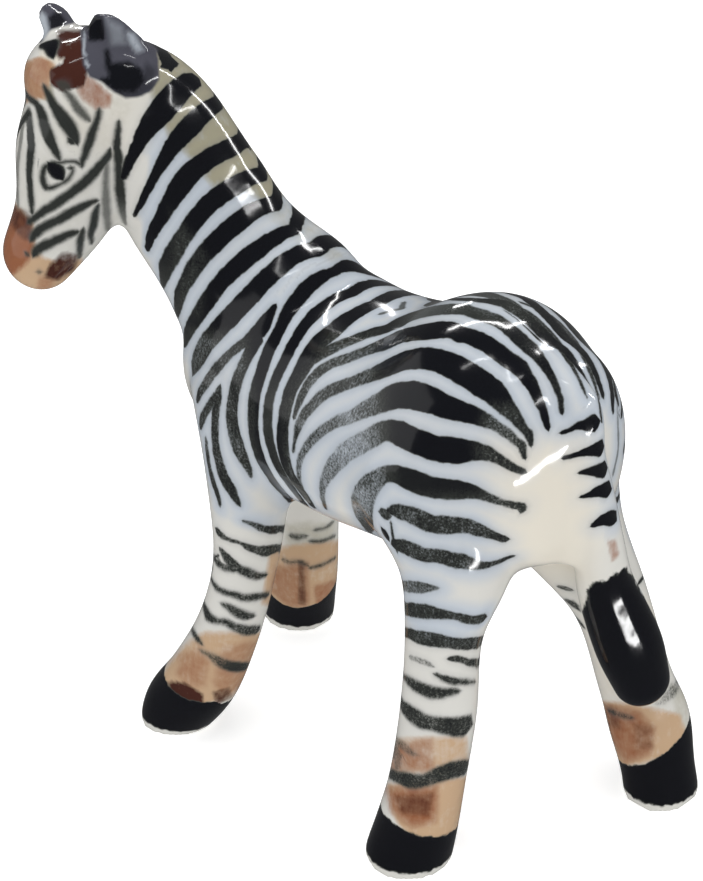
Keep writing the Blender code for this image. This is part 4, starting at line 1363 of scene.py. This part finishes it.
def area_lamp(name, place, along, size, radiance):
    """A rectangular lamp that faces the look point, its length the given way, shown in reflections only."""
    lamp = bpy.data.lights.new(name, "AREA")
    lamp.shape = "RECTANGLE"
    lamp.size, lamp.size_y = size
    lamp.energy = radiance * math.pi * size[0] * size[1]
    along = np.array(along, float)
    back = unit(np.array(place) - LOOK_POINT)
    length = unit(along - back * (back @ along))
    made = placed(name, lamp)
    turn = Matrix((length, np.cross(back, length), back)).transposed().to_4x4()
    made.matrix_world = Matrix.Translation(place) @ turn
    made.visible_diffuse = False


def strip_lamp(name, ends, width, radiance):
    """A narrow lamp from one end to the other."""
    size = (np.linalg.norm(ends[1] - ends[0]), width)
    area_lamp(name, ends.mean(axis=0), ends[1] - ends[0], size, radiance)


def soft_sun(strength):
    """An even, very soft light from above, leaning a little towards the camera, in no reflection."""
    lamp = bpy.data.lights.new("fill", "SUN")
    lamp.energy = strength
    lamp.angle = math.radians(SUN_SPREAD)
    made = placed("fill", lamp)
    made.matrix_world = Vector(SUN_WAY).to_track_quat("Z", "Y").to_matrix().to_4x4()
    made.visible_glossy = False


class FIGURINE_OT_studio(bpy.types.Operator):
    """Lays the pale floor, hangs the lamps and sets up the camera"""

    bl_idname = "figurine.studio"
    bl_label = "Studio"

    def execute(self, context):
        look = settings()
        floor_mesh = bpy.data.meshes.new("floor")
        ways = ((-1, -1), (1, -1), (1, 1), (-1, 1))
        floor_mesh.from_pydata([(x * FLOOR_REACH, y * FLOOR_REACH, 0) for x, y in ways], [], [(0, 1, 2, 3)])
        floor = placed("floor", floor_mesh)
        graph = Graph("studio floor")
        paper = graph.noise(PAPER)
        tint = graph.mixed(paper, [c * 0.99 for c in look.floor_colour], look.floor_colour)
        graph.finish(graph.node(
            "ShaderNodeBsdfPrincipled", {}, Base_Color=tint, Roughness=0.9, Emission_Color=WHITE,
            Emission_Strength=look.floor_glow))
        floor_mesh.materials.append(graph.material)
        floor.visible_glossy = False

        world = bpy.data.worlds.new("studio")
        world.use_nodes = True
        sky = world.node_tree.nodes["Background"]
        sky.inputs["Color"].default_value = WHITE
        sky.inputs["Strength"].default_value = WORLD_STRENGTH
        context.scene.world = world
        context.scene.view_settings.view_transform = "Standard"

        power = look.lamp_power
        for name, (first, last, width, radiance) in LAMPS.items():
            ends = LOOK_POINT + LAMP_REACH * unit(np.array([first, last]))
            strip_lamp(name, ends, width, radiance * power)
        strip_lamp("low", np.array(TUFT_LAMP[:2]), TUFT_LAMP[2], TUFT_LAMP[3] * power)
        place, along, size, radiance = PANEL
        area_lamp("pale panel", place, along, size, radiance * power)
        soft_sun(look.fill * power)

        lens = bpy.data.cameras.new("camera")
        lens.lens = CAMERA_LENS
        lens.sensor_width = SENSOR
        lens.clip_start = 0.01
        camera = placed("camera", lens)
        camera.matrix_world = Matrix((
            (*CAMERA_RIGHT,), (*CAMERA_UP,), (*TO_CAMERA,))).transposed().to_4x4()
        camera.matrix_world.translation = Vector(CAMERA_PLACE)
        context.scene.camera = camera
        return {"FINISHED"}


class FIGURINE_PT_panel(bpy.types.Panel):
    """Sizes, colours and the building steps"""

    bl_idname = "FIGURINE_PT_panel"
    bl_label = "Zebra figurine"
    bl_space_type = "VIEW_3D"
    bl_region_type = "UI"
    bl_category = "Figurine"

    def draw(self, context):
        for key in FigurineSettings.__annotations__:
            self.layout.prop(context.scene.zebra_figurine, key)
        self.layout.operator(FIGURINE_OT_glazed_body.bl_idname)
        self.layout.operator(FIGURINE_OT_studio.bl_idname)


CLASSES = (FigurineSettings, FIGURINE_OT_glazed_body, FIGURINE_OT_studio, FIGURINE_PT_panel)


def register():
    for each in CLASSES:
        bpy.utils.register_class(each)
    bpy.types.Scene.zebra_figurine = PointerProperty(type=FigurineSettings)


def unregister():
    del bpy.types.Scene.zebra_figurine
    for each in reversed(CLASSES):
        bpy.utils.unregister_class(each)


def main():
    register()
    bpy.ops.figurine.studio()
    bpy.ops.figurine.glazed_body()


if __name__ == "__main__":
    main()
